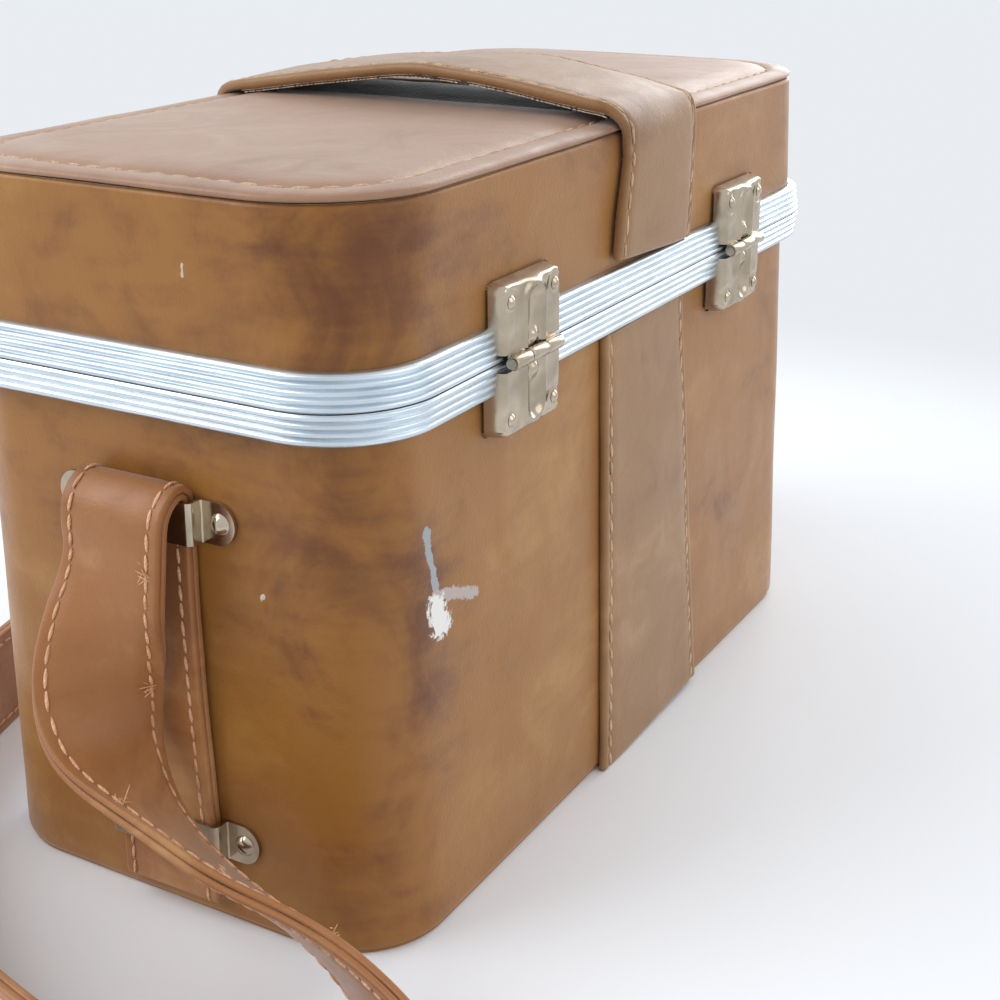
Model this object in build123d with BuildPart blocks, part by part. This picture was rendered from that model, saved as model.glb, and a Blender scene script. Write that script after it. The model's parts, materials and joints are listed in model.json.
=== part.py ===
from build123d import *

import os
from math import atan2, cos, dist, hypot, sin

os.makedirs("parts", exist_ok=True)

# Hard camera case with a hinged lid, edge bands, carrying handle and shoulder strap.
# Millimetres. +Z is up and the origin is the centre of the underside. The hinges are on the +Y
# side and the latches on the -Y side. The base stands on its bottom panel, and the lid turns
# about the two hinge pins.
# Walls are placed by how far they stand outside the wall line, which is the rounded rectangle of
# the base's leather where the two halves meet.

# Case body
length = 300.0
depth = 143.0
corner_radius = 24.0
parting = 160.7
lid_height = 50.3
base_flare = 5.0
lid_step = 2.0
lid_flare = 0.5
lid_rounding = 8.0
leather = 1.2
board = 3.0
cloth = 0.6
clear = 0.1

# How far a cutting tool goes past what it cuts, and how long a drill is
overshoot = 1.0
drill_length = 30.0

# Bottom panel and top panel
panel_thickness = 2.0
panel_inset = 1.0
panel_round = 0.8
top_edge = 3.4
top_crown = 1.1
top_round = 2.9
top_overhang = 0.1

# Edge bands
band_proud = 6.5
band_wall = 1.0
band_web = 1.5
lower_band_height = 9.0
upper_band_height = 9.8
lower_ribs = 4
upper_ribs = 5
rib_depth = 0.7
band_taper = 1.4
parting_gap = 0.3
tongue_height = 4.0
leg_height = 10.0

# Inside
floor_pad = 6.0
lid_pad = 5.0
divider_thickness = 9.0
divider_drop = 14.0
divider_place = -38.0
pad_gap = 0.8
pad_round = 1.5
leg_gap = 1.0

# Handle and belt
belt_width = 57.0
belt_place = -5.0
belt_thickness = 3.0
belt_edge = 1.1
belt_foot_width = 74.0
belt_foot_place = -8.5
handle_rise = 13.2
handle_crown_radius = 220.0
handle_shoulder_radius = 5.5
shoulder_lift = 1.4
lining_ply = 0.9
lining_inset = 1.5
lining_setback = 9.0
window_width = 50.0
window_length = 118.0
window_depth = 1.6
strip_sink = 0.5

# Hinges and latches
fitting_places = {"right": 79.5, "left": -72.5}
leaf_width = 33.0
leaf_reach = 21.9
leaf_start = 2.5
leaf_face = 0.9
leaf_proud = 8.1
leaf_round = 3.0
flute_wide = 9.0
flute_narrow = 3.0
flute_depth = 0.4
pin_radius = 0.95
pin_clearance = 0.05
knuckle_radius = 2.1
knuckle_length = 8.6
knuckle_gap = 0.3
axis_proud = 8.9
rivet_head = 1.9
rivet_dome = 0.9
rivet_shank = 1.2
rivet_side = 12.2
rivet_edge = 5.4
rivet_bite = 0.1
hole_clearance = 0.1
pin_head = 1.5
pin_head_thickness = 0.5

# Latch
latch_drop = 5.0
hasp_width = 17.0
hasp_thickness = 1.0
hasp_start = 2.6
hasp_length = 32.0
hasp_round = 3.0
hasp_bead = 1.1
button_height = 15.5
button_long = 9.0
button_short = 4.4
button_thick = 2.0
button_shaft = 1.5
button_fit = 0.06
button_collar = 2.1
button_disc = 2.6
button_disc_thickness = 0.9
button_clearance = 0.8
slot_round = 1.0
button_float = 0.3
button_stand = 1.7
keeper_reach = 24.5
keeper_start = 0.6
keeper_boss = 3.2
keeper_boss_length = 2.0

# Shoulder strap and its loops
strap_width = 35.0
strap_thickness = 4.4
strap_step = 8.0
strap_floor_step = 18.0
strap_far = 280.0
ply_gap = 0.1
loop_width = 12.0
loop_metal = 1.2
loop_tab = 11.0
loop_room = 5.0
loop_side = 1.2
loop_play = 1.0
screw_lead = 0.4
upper_loop = 124.4
lower_loop = 28.0
lower_loop_shift = 3.0
screw_head = 3.2
screw_dome = 1.9
screw_slot = 0.8
screw_shank = 1.4
screw_slot_depth = 0.8
screw_room = 0.3
screw_turns = (96, 28, 140, 61, 12, 118, 75, 160)

# Levels and walls that follow from the sizes above
base_wall_top = parting - parting_gap / 2 - band_web - clear
base_wall_foot = panel_thickness + clear
lid_wall_foot = parting + parting_gap / 2 + band_web + clear
lid_top = parting + lid_height
rounding_start = parting + leg_height + leg_gap
wall = leather + board
hinge_y = depth / 2 + axis_proud
latch_y = -depth / 2 - axis_proud
latch_axis = parting - latch_drop
button_level = parting + button_height


def base_grow(level):
    """How far the base leather stands outside the wall line at a level."""
    return base_flare * (1 - level / parting)


def lid_grow(level):
    """How far the lid leather stands outside the wall line at a level."""
    return lid_step + lid_flare * (level - parting) / lid_height


def outline(level, grow):
    """The case's rounded rectangle at a level, grown outside the wall line."""
    above = max(0, level - rounding_start) / (lid_top - rounding_start)
    radius = corner_radius + lid_rounding * above + grow
    with BuildSketch(Plane.XY.offset(level)) as sketch:
        RectangleRounded(length + 2 * grow, depth + 2 * grow, radius)
    return sketch.sketch


def leaning(bottom, top, grow, inset, mode=Mode.ADD):
    """A block between two levels. Its sides lean as the grow function says, set in from the wall."""
    levels = [bottom, top]
    if bottom < rounding_start < top:
        levels.insert(1, rounding_start)
    loft([outline(level, grow(level) - inset) for level in levels], ruled=True, mode=mode)


def keep(part, name):
    """Label a finished piece and write it."""
    part.part.label = name
    export_step(part.part, f"parts/{name}.step")


# Fasteners: where each one passes through a wall, as (along the case, level)
hinge_rivet_rows = (parting - leaf_reach + rivet_edge, parting + leaf_reach - rivet_edge)
latch_rivet_rows = (parting - leaf_reach + rivet_edge, parting + keeper_reach - rivet_edge)
rivet_columns = [place + side * rivet_side for place in fitting_places.values() for side in (-1, 1)]
loop_half = strap_width / 2 + loop_play + loop_side
screw_reach = loop_half + loop_tab / 2 + screw_lead
loop_levels = {"upper": upper_loop, "lower": lower_loop}
loop_shifts = {"upper": 0.0, "lower": lower_loop_shift}


def screw_places():
    """(side of the case, y, level) of every loop screw."""
    return [
        (side, side * loop_shifts[row] + way * screw_reach, loop_levels[row])
        for side in (1, -1)
        for row in loop_levels
        for way in (1, -1)
    ]


def wall_holes(level_back, level_front, radius):
    """Cut the rivet holes of one half through its back and front walls."""
    for x in rivet_columns:
        with Locations(Location((x, depth / 2, level_back), (90, 0, 0))):
            Cylinder(radius, drill_length, mode=Mode.SUBTRACT)
        with Locations(Location((x, -depth / 2, level_front), (90, 0, 0))):
            Cylinder(radius, drill_length, mode=Mode.SUBTRACT)


def end_plane(side, y, level):
    """A plane on the base's end leather, its Z pointing out of the leaning wall."""
    lean = atan2(base_flare, parting)
    return Plane(
        origin=(side * (length / 2 + base_grow(level)), y, level),
        x_dir=(0, -side, 0),
        z_dir=(side * cos(lean), 0, sin(lean)),
    )


def end_holes(radius):
    """Cut the loop screws' holes through the end walls of the base."""
    for side, y, level in screw_places():
        with Locations(Location((side * length / 2, y, level), (0, 90, 0))):
            Cylinder(radius, drill_length, mode=Mode.SUBTRACT)


# Base board box
with BuildPart() as base_shell:
    leaning(base_wall_foot, base_wall_top, base_grow, leather)
    floor = base_wall_foot + board
    leaning(floor, base_wall_top + overshoot, base_grow, wall, Mode.SUBTRACT)
    wall_holes(hinge_rivet_rows[0], latch_rivet_rows[0], rivet_shank + hole_clearance)
    end_holes(screw_shank + screw_room)
keep(base_shell, "base_shell")

# Base leather cover
with BuildPart() as base_cover:
    leaning(base_wall_foot, base_wall_top, base_grow, 0)
    leaning(
        base_wall_foot - overshoot, base_wall_top + overshoot, base_grow, leather, Mode.SUBTRACT
    )
    wall_holes(hinge_rivet_rows[0], latch_rivet_rows[0], rivet_shank + hole_clearance)
    end_holes(screw_shank + screw_room)
keep(base_cover, "base_cover")

# Bottom panel
with BuildPart() as bottom_panel:
    extrude(outline(0, base_grow(0) - panel_inset), amount=panel_thickness)
    fillet(bottom_panel.edges().group_by(Axis.Z)[0], panel_round)
keep(bottom_panel, "bottom_panel")

# Base lining
with BuildPart() as base_lining:
    leaning(floor + clear, parting - leg_height - leg_gap, base_grow, wall + clear)
    lined_floor = floor + clear + cloth
    leaning(lined_floor, parting, base_grow, wall + clear + cloth, Mode.SUBTRACT)
keep(base_lining, "base_lining")

# Foam pad on the base's floor
pad_top = lined_floor + clear + floor_pad
with BuildPart() as base_pad:
    leaning(lined_floor + clear, pad_top, base_grow, wall + clear + cloth + pad_gap)
    fillet(base_pad.edges().group_by(Axis.Z)[-1], pad_round)
keep(base_pad, "base_pad")

# Padded divider across the base
with BuildPart() as divider:
    side_inset = wall + clear + cloth + pad_gap
    divider_top = parting - divider_drop
    low_half = depth / 2 + base_grow(pad_top) - side_inset
    high_half = depth / 2 + base_grow(divider_top) - side_inset
    with BuildSketch(Plane.YZ.offset(divider_place - divider_thickness / 2)):
        with BuildLine():
            Polyline(
                (-low_half, pad_top + clear),
                (low_half, pad_top + clear),
                (high_half, divider_top),
                (-high_half, divider_top),
                close=True,
            )
        make_face()
    extrude(amount=divider_thickness)
    fillet(divider.edges().filter_by(Axis.Y), divider_thickness / 3)
keep(divider, "divider")


def ribbed_band(bottom, height, ribs, wide_end):
    """Outlines up a band's ribbed face, which leans in away from the level of its wide end."""
    sections = []
    pitch = height / ribs
    for rib in range(ribs):
        for share, sunk in ((0.0, rib_depth), (0.2, rib_depth), (0.38, 0), (0.82, 0)):
            level = bottom + (rib + share) * pitch
            lean = band_taper * abs(level - wide_end) / height
            sections.append(outline(level, band_proud - lean - sunk))
    top = bottom + height
    sections.append(outline(top, band_proud - band_taper * abs(top - wide_end) / height - rib_depth))
    return sections


# Lower edge band: ribbed face, web over the wall's edge, inner leg and the closing tongue
with BuildPart() as base_band:
    band_top = parting - parting_gap / 2
    band_foot = band_top - lower_band_height
    loft(ribbed_band(band_foot, lower_band_height, lower_ribs, band_top), ruled=True)
    wall_side = base_grow(band_foot) + clear
    extrude(outline(band_foot, wall_side), amount=lower_band_height - band_web, mode=Mode.SUBTRACT)
    leg_out = -wall - cloth - clear
    extrude(outline(band_foot, leg_out - band_wall), amount=lower_band_height, mode=Mode.SUBTRACT)
    leg_foot = band_top - leg_height
    extrude(outline(leg_foot, leg_out), amount=leg_height + tongue_height)
    extrude(
        outline(leg_foot, leg_out - band_wall), amount=leg_height + tongue_height, mode=Mode.SUBTRACT
    )
keep(base_band, "base_band")

# Upper edge band
with BuildPart() as lid_band:
    band_start = parting + parting_gap / 2
    loft(ribbed_band(band_start, upper_band_height, upper_ribs, band_start), ruled=True)
    lid_side = lid_grow(band_start + upper_band_height) + clear
    lid_leg_out = lid_step - wall - cloth - clear
    extrude(
        outline(band_start + band_web, lid_side), amount=upper_band_height, mode=Mode.SUBTRACT
    )
    extrude(
        outline(band_start, lid_leg_out - band_wall), amount=upper_band_height, mode=Mode.SUBTRACT
    )
    extrude(outline(band_start, lid_leg_out), amount=leg_height)
    extrude(outline(band_start, lid_leg_out - band_wall), amount=leg_height, mode=Mode.SUBTRACT)
keep(lid_band, "lid_band")

# Lid board shell
with BuildPart() as lid_shell:
    leaning(lid_wall_foot, lid_top - clear, lid_grow, leather)
    ceiling = lid_top - clear - board
    leaning(lid_wall_foot - overshoot, ceiling, lid_grow, wall, Mode.SUBTRACT)
    wall_holes(hinge_rivet_rows[1], latch_rivet_rows[1], rivet_shank + hole_clearance)
keep(lid_shell, "lid_shell")

# Lid leather cover
with BuildPart() as lid_cover:
    leaning(lid_wall_foot, lid_top - clear, lid_grow, 0)
    leaning(lid_wall_foot - overshoot, lid_top + overshoot, lid_grow, leather, Mode.SUBTRACT)
    wall_holes(hinge_rivet_rows[1], latch_rivet_rows[1], rivet_shank + hole_clearance)
keep(lid_cover, "lid_cover")

# Lid lining
with BuildPart() as lid_lining:
    lining_foot = parting + leg_height + leg_gap
    leaning(lining_foot, ceiling - clear, lid_grow, wall + clear)
    lined_ceiling = ceiling - clear - cloth
    leaning(
        lining_foot - overshoot, lined_ceiling, lid_grow, wall + clear + cloth, Mode.SUBTRACT
    )
keep(lid_lining, "lid_lining")

# Foam pad in the lid
with BuildPart() as lid_foam:
    foam_foot = lined_ceiling - clear - lid_pad
    leaning(foam_foot, lined_ceiling - clear, lid_grow, wall + clear + cloth + pad_gap)
    fillet(lid_foam.edges().group_by(Axis.Z)[0], pad_round)
keep(lid_foam, "lid_foam")

# Padded top panel: a slab crowned both ways, with a rolled border and the window under the handle
top_foot = lid_top
panel_grow = lid_grow(lid_top) + top_overhang
with BuildPart() as top_panel:
    extrude(outline(top_foot, panel_grow), amount=top_edge + 2 * top_crown)
    cut_half = depth / 2 + panel_grow + overshoot
    with BuildSketch(Plane.YZ.offset(-length)):
        with BuildLine():
            Polyline(
                (cut_half, top_foot + top_edge),
                (cut_half, top_foot - overshoot),
                (-cut_half, top_foot - overshoot),
                (-cut_half, top_foot + top_edge),
            )
            ThreePointArc(
                (-cut_half, top_foot + top_edge),
                (0, top_foot + top_edge + top_crown),
                (cut_half, top_foot + top_edge),
            )
        make_face()
    extrude(amount=2 * length, mode=Mode.INTERSECT)
    rim = top_panel.edges().filter_by(lambda edge: edge.center().Z > top_foot + top_round)
    fillet(rim, top_round)
    with Locations((belt_place, 0, top_foot + top_edge + top_crown)):
        Box(window_width, window_length, 2 * window_depth, mode=Mode.SUBTRACT)
keep(top_panel, "top_panel")

# Grey cloth strip that fills the window
with BuildPart() as under_handle_strip:
    strip_foot = top_foot + top_edge + top_crown - window_depth + clear
    with BuildSketch(Plane.XY.offset(strip_foot)):
        with Locations((belt_place, 0)):
            Rectangle(window_width - 2 * clear, window_length - 2 * clear)
    extrude(amount=window_depth - strip_sink - clear)
keep(under_handle_strip, "under_handle_strip")

# Carrying handle: a belt up the lid's back, arched over the top and down its front
belt_foot = parting + parting_gap / 2 + upper_band_height + clear
belt_centre = depth / 2 + lid_grow(lid_top) + clear + belt_thickness / 2
shoulder = top_foot + top_edge + belt_thickness / 2 + shoulder_lift
apex = shoulder + handle_rise - belt_thickness / 2
with BuildPart() as handle_belt:
    with BuildLine(Plane.YZ.offset(belt_place)) as handle_line:
        FilletPolyline(
            (belt_centre, belt_foot),
            (belt_centre, shoulder),
            (0, apex),
            (-belt_centre, shoulder),
            (-belt_centre, belt_foot),
            radius=[handle_shoulder_radius, handle_crown_radius, handle_shoulder_radius],
        )
    with BuildSketch(Plane(origin=(belt_place, belt_centre, belt_foot), z_dir=(0, 0, 1))):
        RectangleRounded(belt_width, belt_thickness, belt_edge)
    sweep()
keep(handle_belt, "handle_belt")

# Handle lining: an inner ply under the arch, narrower than the belt
slope = hypot(belt_centre, apex - shoulder)
lining_drop = belt_thickness / 2 + clear / 2 + lining_ply / 2
lining_end = (
    belt_centre - lining_setback * belt_centre / slope - lining_drop * (apex - shoulder) / slope,
    shoulder + lining_setback * (apex - shoulder) / slope - lining_drop * belt_centre / slope,
)
with BuildPart() as handle_lining:
    with BuildLine(Plane.YZ.offset(belt_place)):
        FilletPolyline(
            lining_end,
            (0, apex - lining_drop * slope / belt_centre),
            (-lining_end[0], lining_end[1]),
            radius=handle_crown_radius - lining_drop,
        )
    with BuildSketch(
        Plane(
            origin=(belt_place, *lining_end),
            x_dir=(1, 0, 0),
            z_dir=(0, -belt_centre, apex - shoulder),
        )
    ):
        Rectangle(belt_width - 2 * lining_inset, lining_ply)
    sweep()
keep(handle_lining, "handle_lining")


# Belt strips on the base, wider at the foot
def belt_strip(side):
    """A strip on one long wall of the base. It follows the wall's lean and curls in at its foot."""
    lean = atan2(base_flare, parting)
    wall_plane = Plane(
        origin=(0, side * (depth / 2 + base_flare), 0),
        x_dir=(-side, 0, 0),
        z_dir=(0, side * cos(lean), sin(lean)),
    )
    top = (band_foot - clear) / cos(lean)
    with BuildPart() as strip:
        with BuildSketch(wall_plane.offset(clear)):
            with BuildLine():
                Polyline(
                    (-side * (belt_foot_place - belt_foot_width / 2), clear),
                    (-side * (belt_foot_place + belt_foot_width / 2), clear),
                    (-side * (belt_place + belt_width / 2), top),
                    (-side * (belt_place - belt_width / 2), top),
                    close=True,
                )
            make_face()
        extrude(amount=belt_thickness)
        outer = strip.faces().sort_by(Axis.Y)[-1 if side > 0 else 0]
        fillet(outer.edges(), belt_edge)
    return strip


keep(belt_strip(1), "back_belt")
keep(belt_strip(-1), "front_belt")


def fitting_place(place, side, level):
    """Where a fitting goes: its X runs along the case, its Y points out of the wall, its Z up."""
    plane = Plane(origin=(place, side * depth / 2, level), x_dir=(side, 0, 0), z_dir=(0, 0, 1))
    return plane.location


def along(x, out, up):
    """A plane in a fitting, its Z pointing along the case."""
    return Plane(origin=(x, out, up), x_dir=(0, 0, -1), z_dir=(1, 0, 0))


def facing(x, out, up):
    """A plane in a fitting, its Z pointing out of the wall and its Y pointing up."""
    return Plane(origin=(x, out, up), x_dir=(-1, 0, 0), z_dir=(0, 1, 0))


def place_part(part, name, location):
    """Label a fitting built at the origin, move it to its place and write it."""
    moved = part.part.moved(location)
    moved.label = name
    export_step(moved, f"parts/{name}.step")


knuckle_step = knuckle_length + knuckle_gap
stack_half = 1.5 * knuckle_length + knuckle_gap


def leaf(foot, start, reach, way, band_cover, knuckles):
    """One pressed leaf: a shallow tray on the leather, clear of the band, with its knuckles."""
    with BuildPart() as pressed:
        outer = leaf_proud - foot
        with Locations((0, foot + outer / 2, way * (start + reach) / 2)):
            Box(leaf_width, outer, reach - start)
        ends = pressed.edges().filter_by(Axis.Y).group_by(Axis.Z)
        fillet(ends[-1] if way > 0 else ends[0], leaf_round)
        hollow = leaf_proud - leaf_face - foot + overshoot
        with Locations((0, foot - overshoot + hollow / 2, way * (reach - leaf_face) / 2)):
            Box(leaf_width - 2 * leaf_face, hollow, reach - leaf_face, mode=Mode.SUBTRACT)
        band_room = band_proud + clear - foot + overshoot
        with Locations((0, foot - overshoot + band_room / 2, way * band_cover / 2)):
            Box(leaf_width + overshoot, band_room, band_cover, mode=Mode.SUBTRACT)
        with BuildSketch(facing(0, leaf_proud, 0)):
            with BuildLine():
                Polyline(
                    (-flute_wide / 2, way * start),
                    (flute_wide / 2, way * start),
                    (flute_narrow / 2, way * (reach - rivet_edge)),
                    (-flute_narrow / 2, way * (reach - rivet_edge)),
                    close=True,
                )
            make_face()
        extrude(amount=-flute_depth, mode=Mode.SUBTRACT)
        for x in knuckles:
            with Locations((x, leaf_proud - leaf_face / 2, way * (start + leaf_face) / 2)):
                Box(knuckle_length, leaf_face, start + leaf_face)
            with Locations(along(x, axis_proud, 0)):
                Cylinder(knuckle_radius, knuckle_length)
        if knuckles:
            with Locations(along(0, axis_proud, 0)):
                Cylinder(pin_radius + pin_clearance, leaf_width, mode=Mode.SUBTRACT)
        for x in (-rivet_side, rivet_side):
            with Locations(facing(x, leaf_proud, way * (reach - rivet_edge))):
                Cylinder(rivet_shank + hole_clearance, drill_length, mode=Mode.SUBTRACT)
    return pressed


def headed_pin():
    """Pin through three knuckles, peened over at both ends."""
    with BuildPart() as pin:
        with Locations(along(0, axis_proud, 0)):
            Cylinder(pin_radius, 2 * (stack_half + parting_gap) + pin_head_thickness)
        for side in (-1, 1):
            out = side * (stack_half + parting_gap + pin_head_thickness / 2)
            with Locations(along(out, axis_proud, 0)):
                Cylinder(pin_head, pin_head_thickness)
    return pin


# Hinge leaves and pins, and the latch leaves that carry the hasps
lid_foot = lid_grow(parting + leaf_reach) + clear
base_foot = base_grow(parting - leaf_reach) + clear
lid_cover_room = upper_band_height + parting_gap
base_cover_room = lower_band_height + parting_gap
latch_reach = leaf_reach - latch_drop
latch_cover_room = base_cover_room - latch_drop
sides_out = (-knuckle_step, knuckle_step)
for side_name, place in fitting_places.items():
    hinge = fitting_place(place, 1, parting)
    latch = fitting_place(place, -1, latch_axis)
    lid_leaf = leaf(lid_foot, leaf_start, leaf_reach, 1, lid_cover_room, sides_out)
    place_part(lid_leaf, f"hinge_leaf_lid_{side_name}", hinge)
    base_leaf = leaf(base_foot, leaf_start, leaf_reach, -1, base_cover_room, (0,))
    place_part(base_leaf, f"hinge_leaf_base_{side_name}", hinge)
    place_part(headed_pin(), f"hinge_pin_{side_name}", hinge)
    latch_leaf = leaf(base_foot, leaf_start, latch_reach, -1, latch_cover_room, sides_out)
    place_part(latch_leaf, f"latch_leaf_{side_name}", latch)
    place_part(headed_pin(), f"latch_pin_{side_name}", latch)

# Hasp: hangs from its knuckle at rest and swings up over the turn button
hasp_slot = button_height + latch_drop
with BuildPart() as hasp:
    plate_length = hasp_length - hasp_start
    with Locations((0, axis_proud, -hasp_start - plate_length / 2)):
        Box(hasp_width, hasp_thickness, plate_length)
    tip = hasp.edges().filter_by(Axis.Y).group_by(Axis.Z)[0]
    fillet(tip, hasp_round)
    with Locations((0, axis_proud, -hasp_start / 2)):
        Box(knuckle_length, hasp_thickness, hasp_start)
    with Locations(along(0, axis_proud, 0)):
        Cylinder(knuckle_radius, knuckle_length)
        Cylinder(pin_radius + pin_clearance, leaf_width, mode=Mode.SUBTRACT)
    with BuildSketch(facing(0, axis_proud, -hasp_slot)):
        RectangleRounded(
            button_long + button_clearance, button_short + 2 * button_clearance, slot_round
        )
    extrude(amount=hasp_thickness, both=True, mode=Mode.SUBTRACT)
    with Locations(along(0, axis_proud, hasp_bead - hasp_length)):
        Cylinder(hasp_bead, hasp_width - 2 * hasp_round)
for side_name, place in fitting_places.items():
    place_part(hasp, f"hasp_{side_name}", fitting_place(place, -1, latch_axis))

# Keeper tray on the lid, with the boss that the turn button's shaft runs in
with BuildPart() as keeper_boss_part:
    with Locations(facing(0, leaf_proud - leaf_face - keeper_boss_length / 2, button_height)):
        Cylinder(keeper_boss, keeper_boss_length)
keeper_leaf = leaf(lid_foot, keeper_start, keeper_reach, 1, lid_cover_room, ())
with BuildPart() as keeper:
    add(keeper_leaf.part)
    add(keeper_boss_part.part)
    with Locations(facing(0, leaf_proud, button_height)):
        Cylinder(button_shaft + button_fit, 3 * keeper_boss_length, mode=Mode.SUBTRACT)
for side_name, place in fitting_places.items():
    place_part(keeper, f"keeper_{side_name}", fitting_place(place, -1, parting))

# Turn button: oblong head, collar, shaft and the disc that holds it behind the boss
boss_back = leaf_proud - leaf_face - keeper_boss_length
head_seat = leaf_proud + button_stand
with BuildPart() as turn_button:
    with BuildSketch(facing(0, head_seat, 0)):
        SlotOverall(button_long, button_short)
    extrude(amount=button_thick)
    head_rim = turn_button.faces().sort_by(Axis.Y)[-1].edges()
    fillet(head_rim, button_thick / 4)
    with BuildSketch(facing(0, head_seat, 0)):
        Circle(button_collar)
    extrude(amount=button_float - button_stand)
    disc_face = boss_back - button_float
    with BuildSketch(facing(0, disc_face, 0)):
        Circle(button_shaft)
    extrude(amount=head_seat - disc_face)
    with BuildSketch(facing(0, disc_face, 0)):
        Circle(button_disc)
    extrude(amount=-button_disc_thickness)
for side_name, place in fitting_places.items():
    place_part(turn_button, f"turn_button_{side_name}", fitting_place(place, -1, button_level))


def domed(head, dome, shank, shank_length, slot):
    """Round-headed fastener along +Z, seated at the origin. A slot width above 0 cuts its head."""
    radius = (head**2 + dome**2) / (2 * dome)
    half_way = atan2(head, radius - dome) / 2
    with BuildPart() as fastener:
        with BuildSketch(Plane.XZ):
            with BuildLine():
                Polyline((0, dome), (0, -shank_length), (shank, -shank_length), (shank, 0), (head, 0))
                ThreePointArc(
                    (head, 0),
                    (radius * sin(half_way), radius * cos(half_way) - radius + dome),
                    (0, dome),
                )
            make_face()
        revolve(axis=Axis.Z)
        if slot:
            with Locations((0, 0, dome)):
                Box(2 * head, slot, 2 * screw_slot_depth, mode=Mode.SUBTRACT)
    return fastener


def rivets(side, level, inner):
    """A row of rivets through one long wall, each ending just inside the board's inner face."""
    seat = leaf_proud
    rivet = domed(rivet_head, rivet_dome, rivet_shank, seat - inner - rivet_bite, 0)
    with BuildPart() as row:
        for x in rivet_columns:
            with Locations(Plane(origin=(x, side * (depth / 2 + seat), level), z_dir=(0, side, 0))):
                add(rivet.part)
    return row


for name, side, level, grow in (
    ("hinge_rivets_base", 1, hinge_rivet_rows[0], base_grow),
    ("hinge_rivets_lid", 1, hinge_rivet_rows[1], lid_grow),
    ("latch_rivets_base", -1, latch_rivet_rows[0], base_grow),
    ("latch_rivets_lid", -1, latch_rivet_rows[1], lid_grow),
):
    keep(rivets(side, level, grow(level) - wall), name)


# Strap loops: bent metal strips with round screw tabs
def loop(side, row):
    """One loop on an end wall: tab, post, bridge, post and tab in one bent strip."""
    seat = end_plane(side, side * loop_shifts[row], loop_levels[row])
    edge_on = Plane(origin=seat.origin, x_dir=seat.x_dir, z_dir=seat.x_dir.cross(seat.z_dir))
    tab_level = clear + loop_metal / 2
    bridge_level = clear + loop_room + loop_metal / 2
    post = loop_half - loop_metal / 2
    tip = loop_half + loop_tab
    with BuildPart() as strip:
        with BuildSketch(edge_on):
            with BuildLine():
                FilletPolyline(
                    (-tip, tab_level),
                    (-post, tab_level),
                    (-post, bridge_level),
                    (post, bridge_level),
                    (post, tab_level),
                    (tip, tab_level),
                    radius=loop_side,
                )
            trace(line_width=loop_metal)
        extrude(amount=loop_width / 2, both=True)
        with BuildSketch(seat):
            SlotOverall(2 * tip, loop_width)
        extrude(amount=loop_room + 3 * loop_metal, mode=Mode.INTERSECT)
        for way in (-1, 1):
            with Locations(seat.location * Location((way * screw_reach, 0, 0))):
                Cylinder(screw_shank + hole_clearance, 4 * loop_metal, mode=Mode.SUBTRACT)
    return strip


for side_name, side in (("right", 1), ("left", -1)):
    for row in loop_levels:
        keep(loop(side, row), f"strap_loop_{row}_{side_name}")

# Slotted screws of the loops, each turned to its own angle
screw_seat = clear + loop_metal
with BuildPart() as loop_screws:
    screw = domed(screw_head, screw_dome, screw_shank, screw_seat + wall - rivet_bite, screw_slot)
    for place, turn in zip(screw_places(), screw_turns):
        with Locations(end_plane(*place).location * Location((0, 0, screw_seat), (0, 0, turn))):
            add(screw.part)
keep(loop_screws, "loop_screws")

# Shoulder strap at the +X end, from its tail end to where it lies on the floor.
# Each row is the middle of the strap, as (out from the wall's foot, y, z), then the direction
# across it.
end_run = (
    (2.3, 3.2, 7.5, 0, 1, 0),
    (1.7, 3.0, 27.6, 0, 1, 0),
    (1.6, 2.4, 48.0, 0, 1, 0),
    (1.3, 1.5, 76.0, 0, 1, 0),
    (0.1, 0.5, 102.0, 0, 1, 0),
    (-1.15, 0.0, 120.0, 0, 1, 0),
    (-1.4, 0.0, 130.0, 0, 1, 0),
    (-0.95, 0.0, 131.7, 0, 1, 0),
    (0.22, 0.0, 132.9, 0, 1, 0),
    (1.9, 0.0, 133.35, 0, 1, 0),
    (3.55, 0.0, 132.9, 0, 1, 0),
    (5.6, 0.0, 131.65, 0, 1, 0),
    (7.6, 0.0, 130.0, 0, 1, 0),
    (9.3, 0.0, 127.0, 0.01, 1, 0),
    (10.2, 0.0, 122.0, 0.02, 1, -0.01),
    (10.6, -0.1, 115.6, 0.05, 1, -0.02),
    (13.3, -1.6, 100.2, -0.07, 0.99, -0.14),
    (17.7, -3.4, 84.9, -0.52, 0.84, -0.15),
    (21.3, -2.4, 69.8, -0.89, 0.43, -0.11),
    (25, 6.9, 58.0, -0.95, 0.03, -0.32),
    (26.5, 20.4, 50.0, -0.81, -0.21, -0.55),
    (28, 34.3, 42.3, -0.77, -0.24, -0.59),
    (27.6, 49.4, 36.8, -0.72, -0.24, -0.65),
    (26.9, 64.7, 32.5, -0.65, -0.21, -0.73),
    (28.1, 80.0, 27.8, -0.52, -0.18, -0.84),
    (32.8, 94.3, 22.6, -0.35, -0.15, -0.92),
    (39.6, 108.3, 18.9, -0.17, -0.11, -0.98),
    (48, 121.0, 17.9, 0, 0, -1),
)
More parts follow.
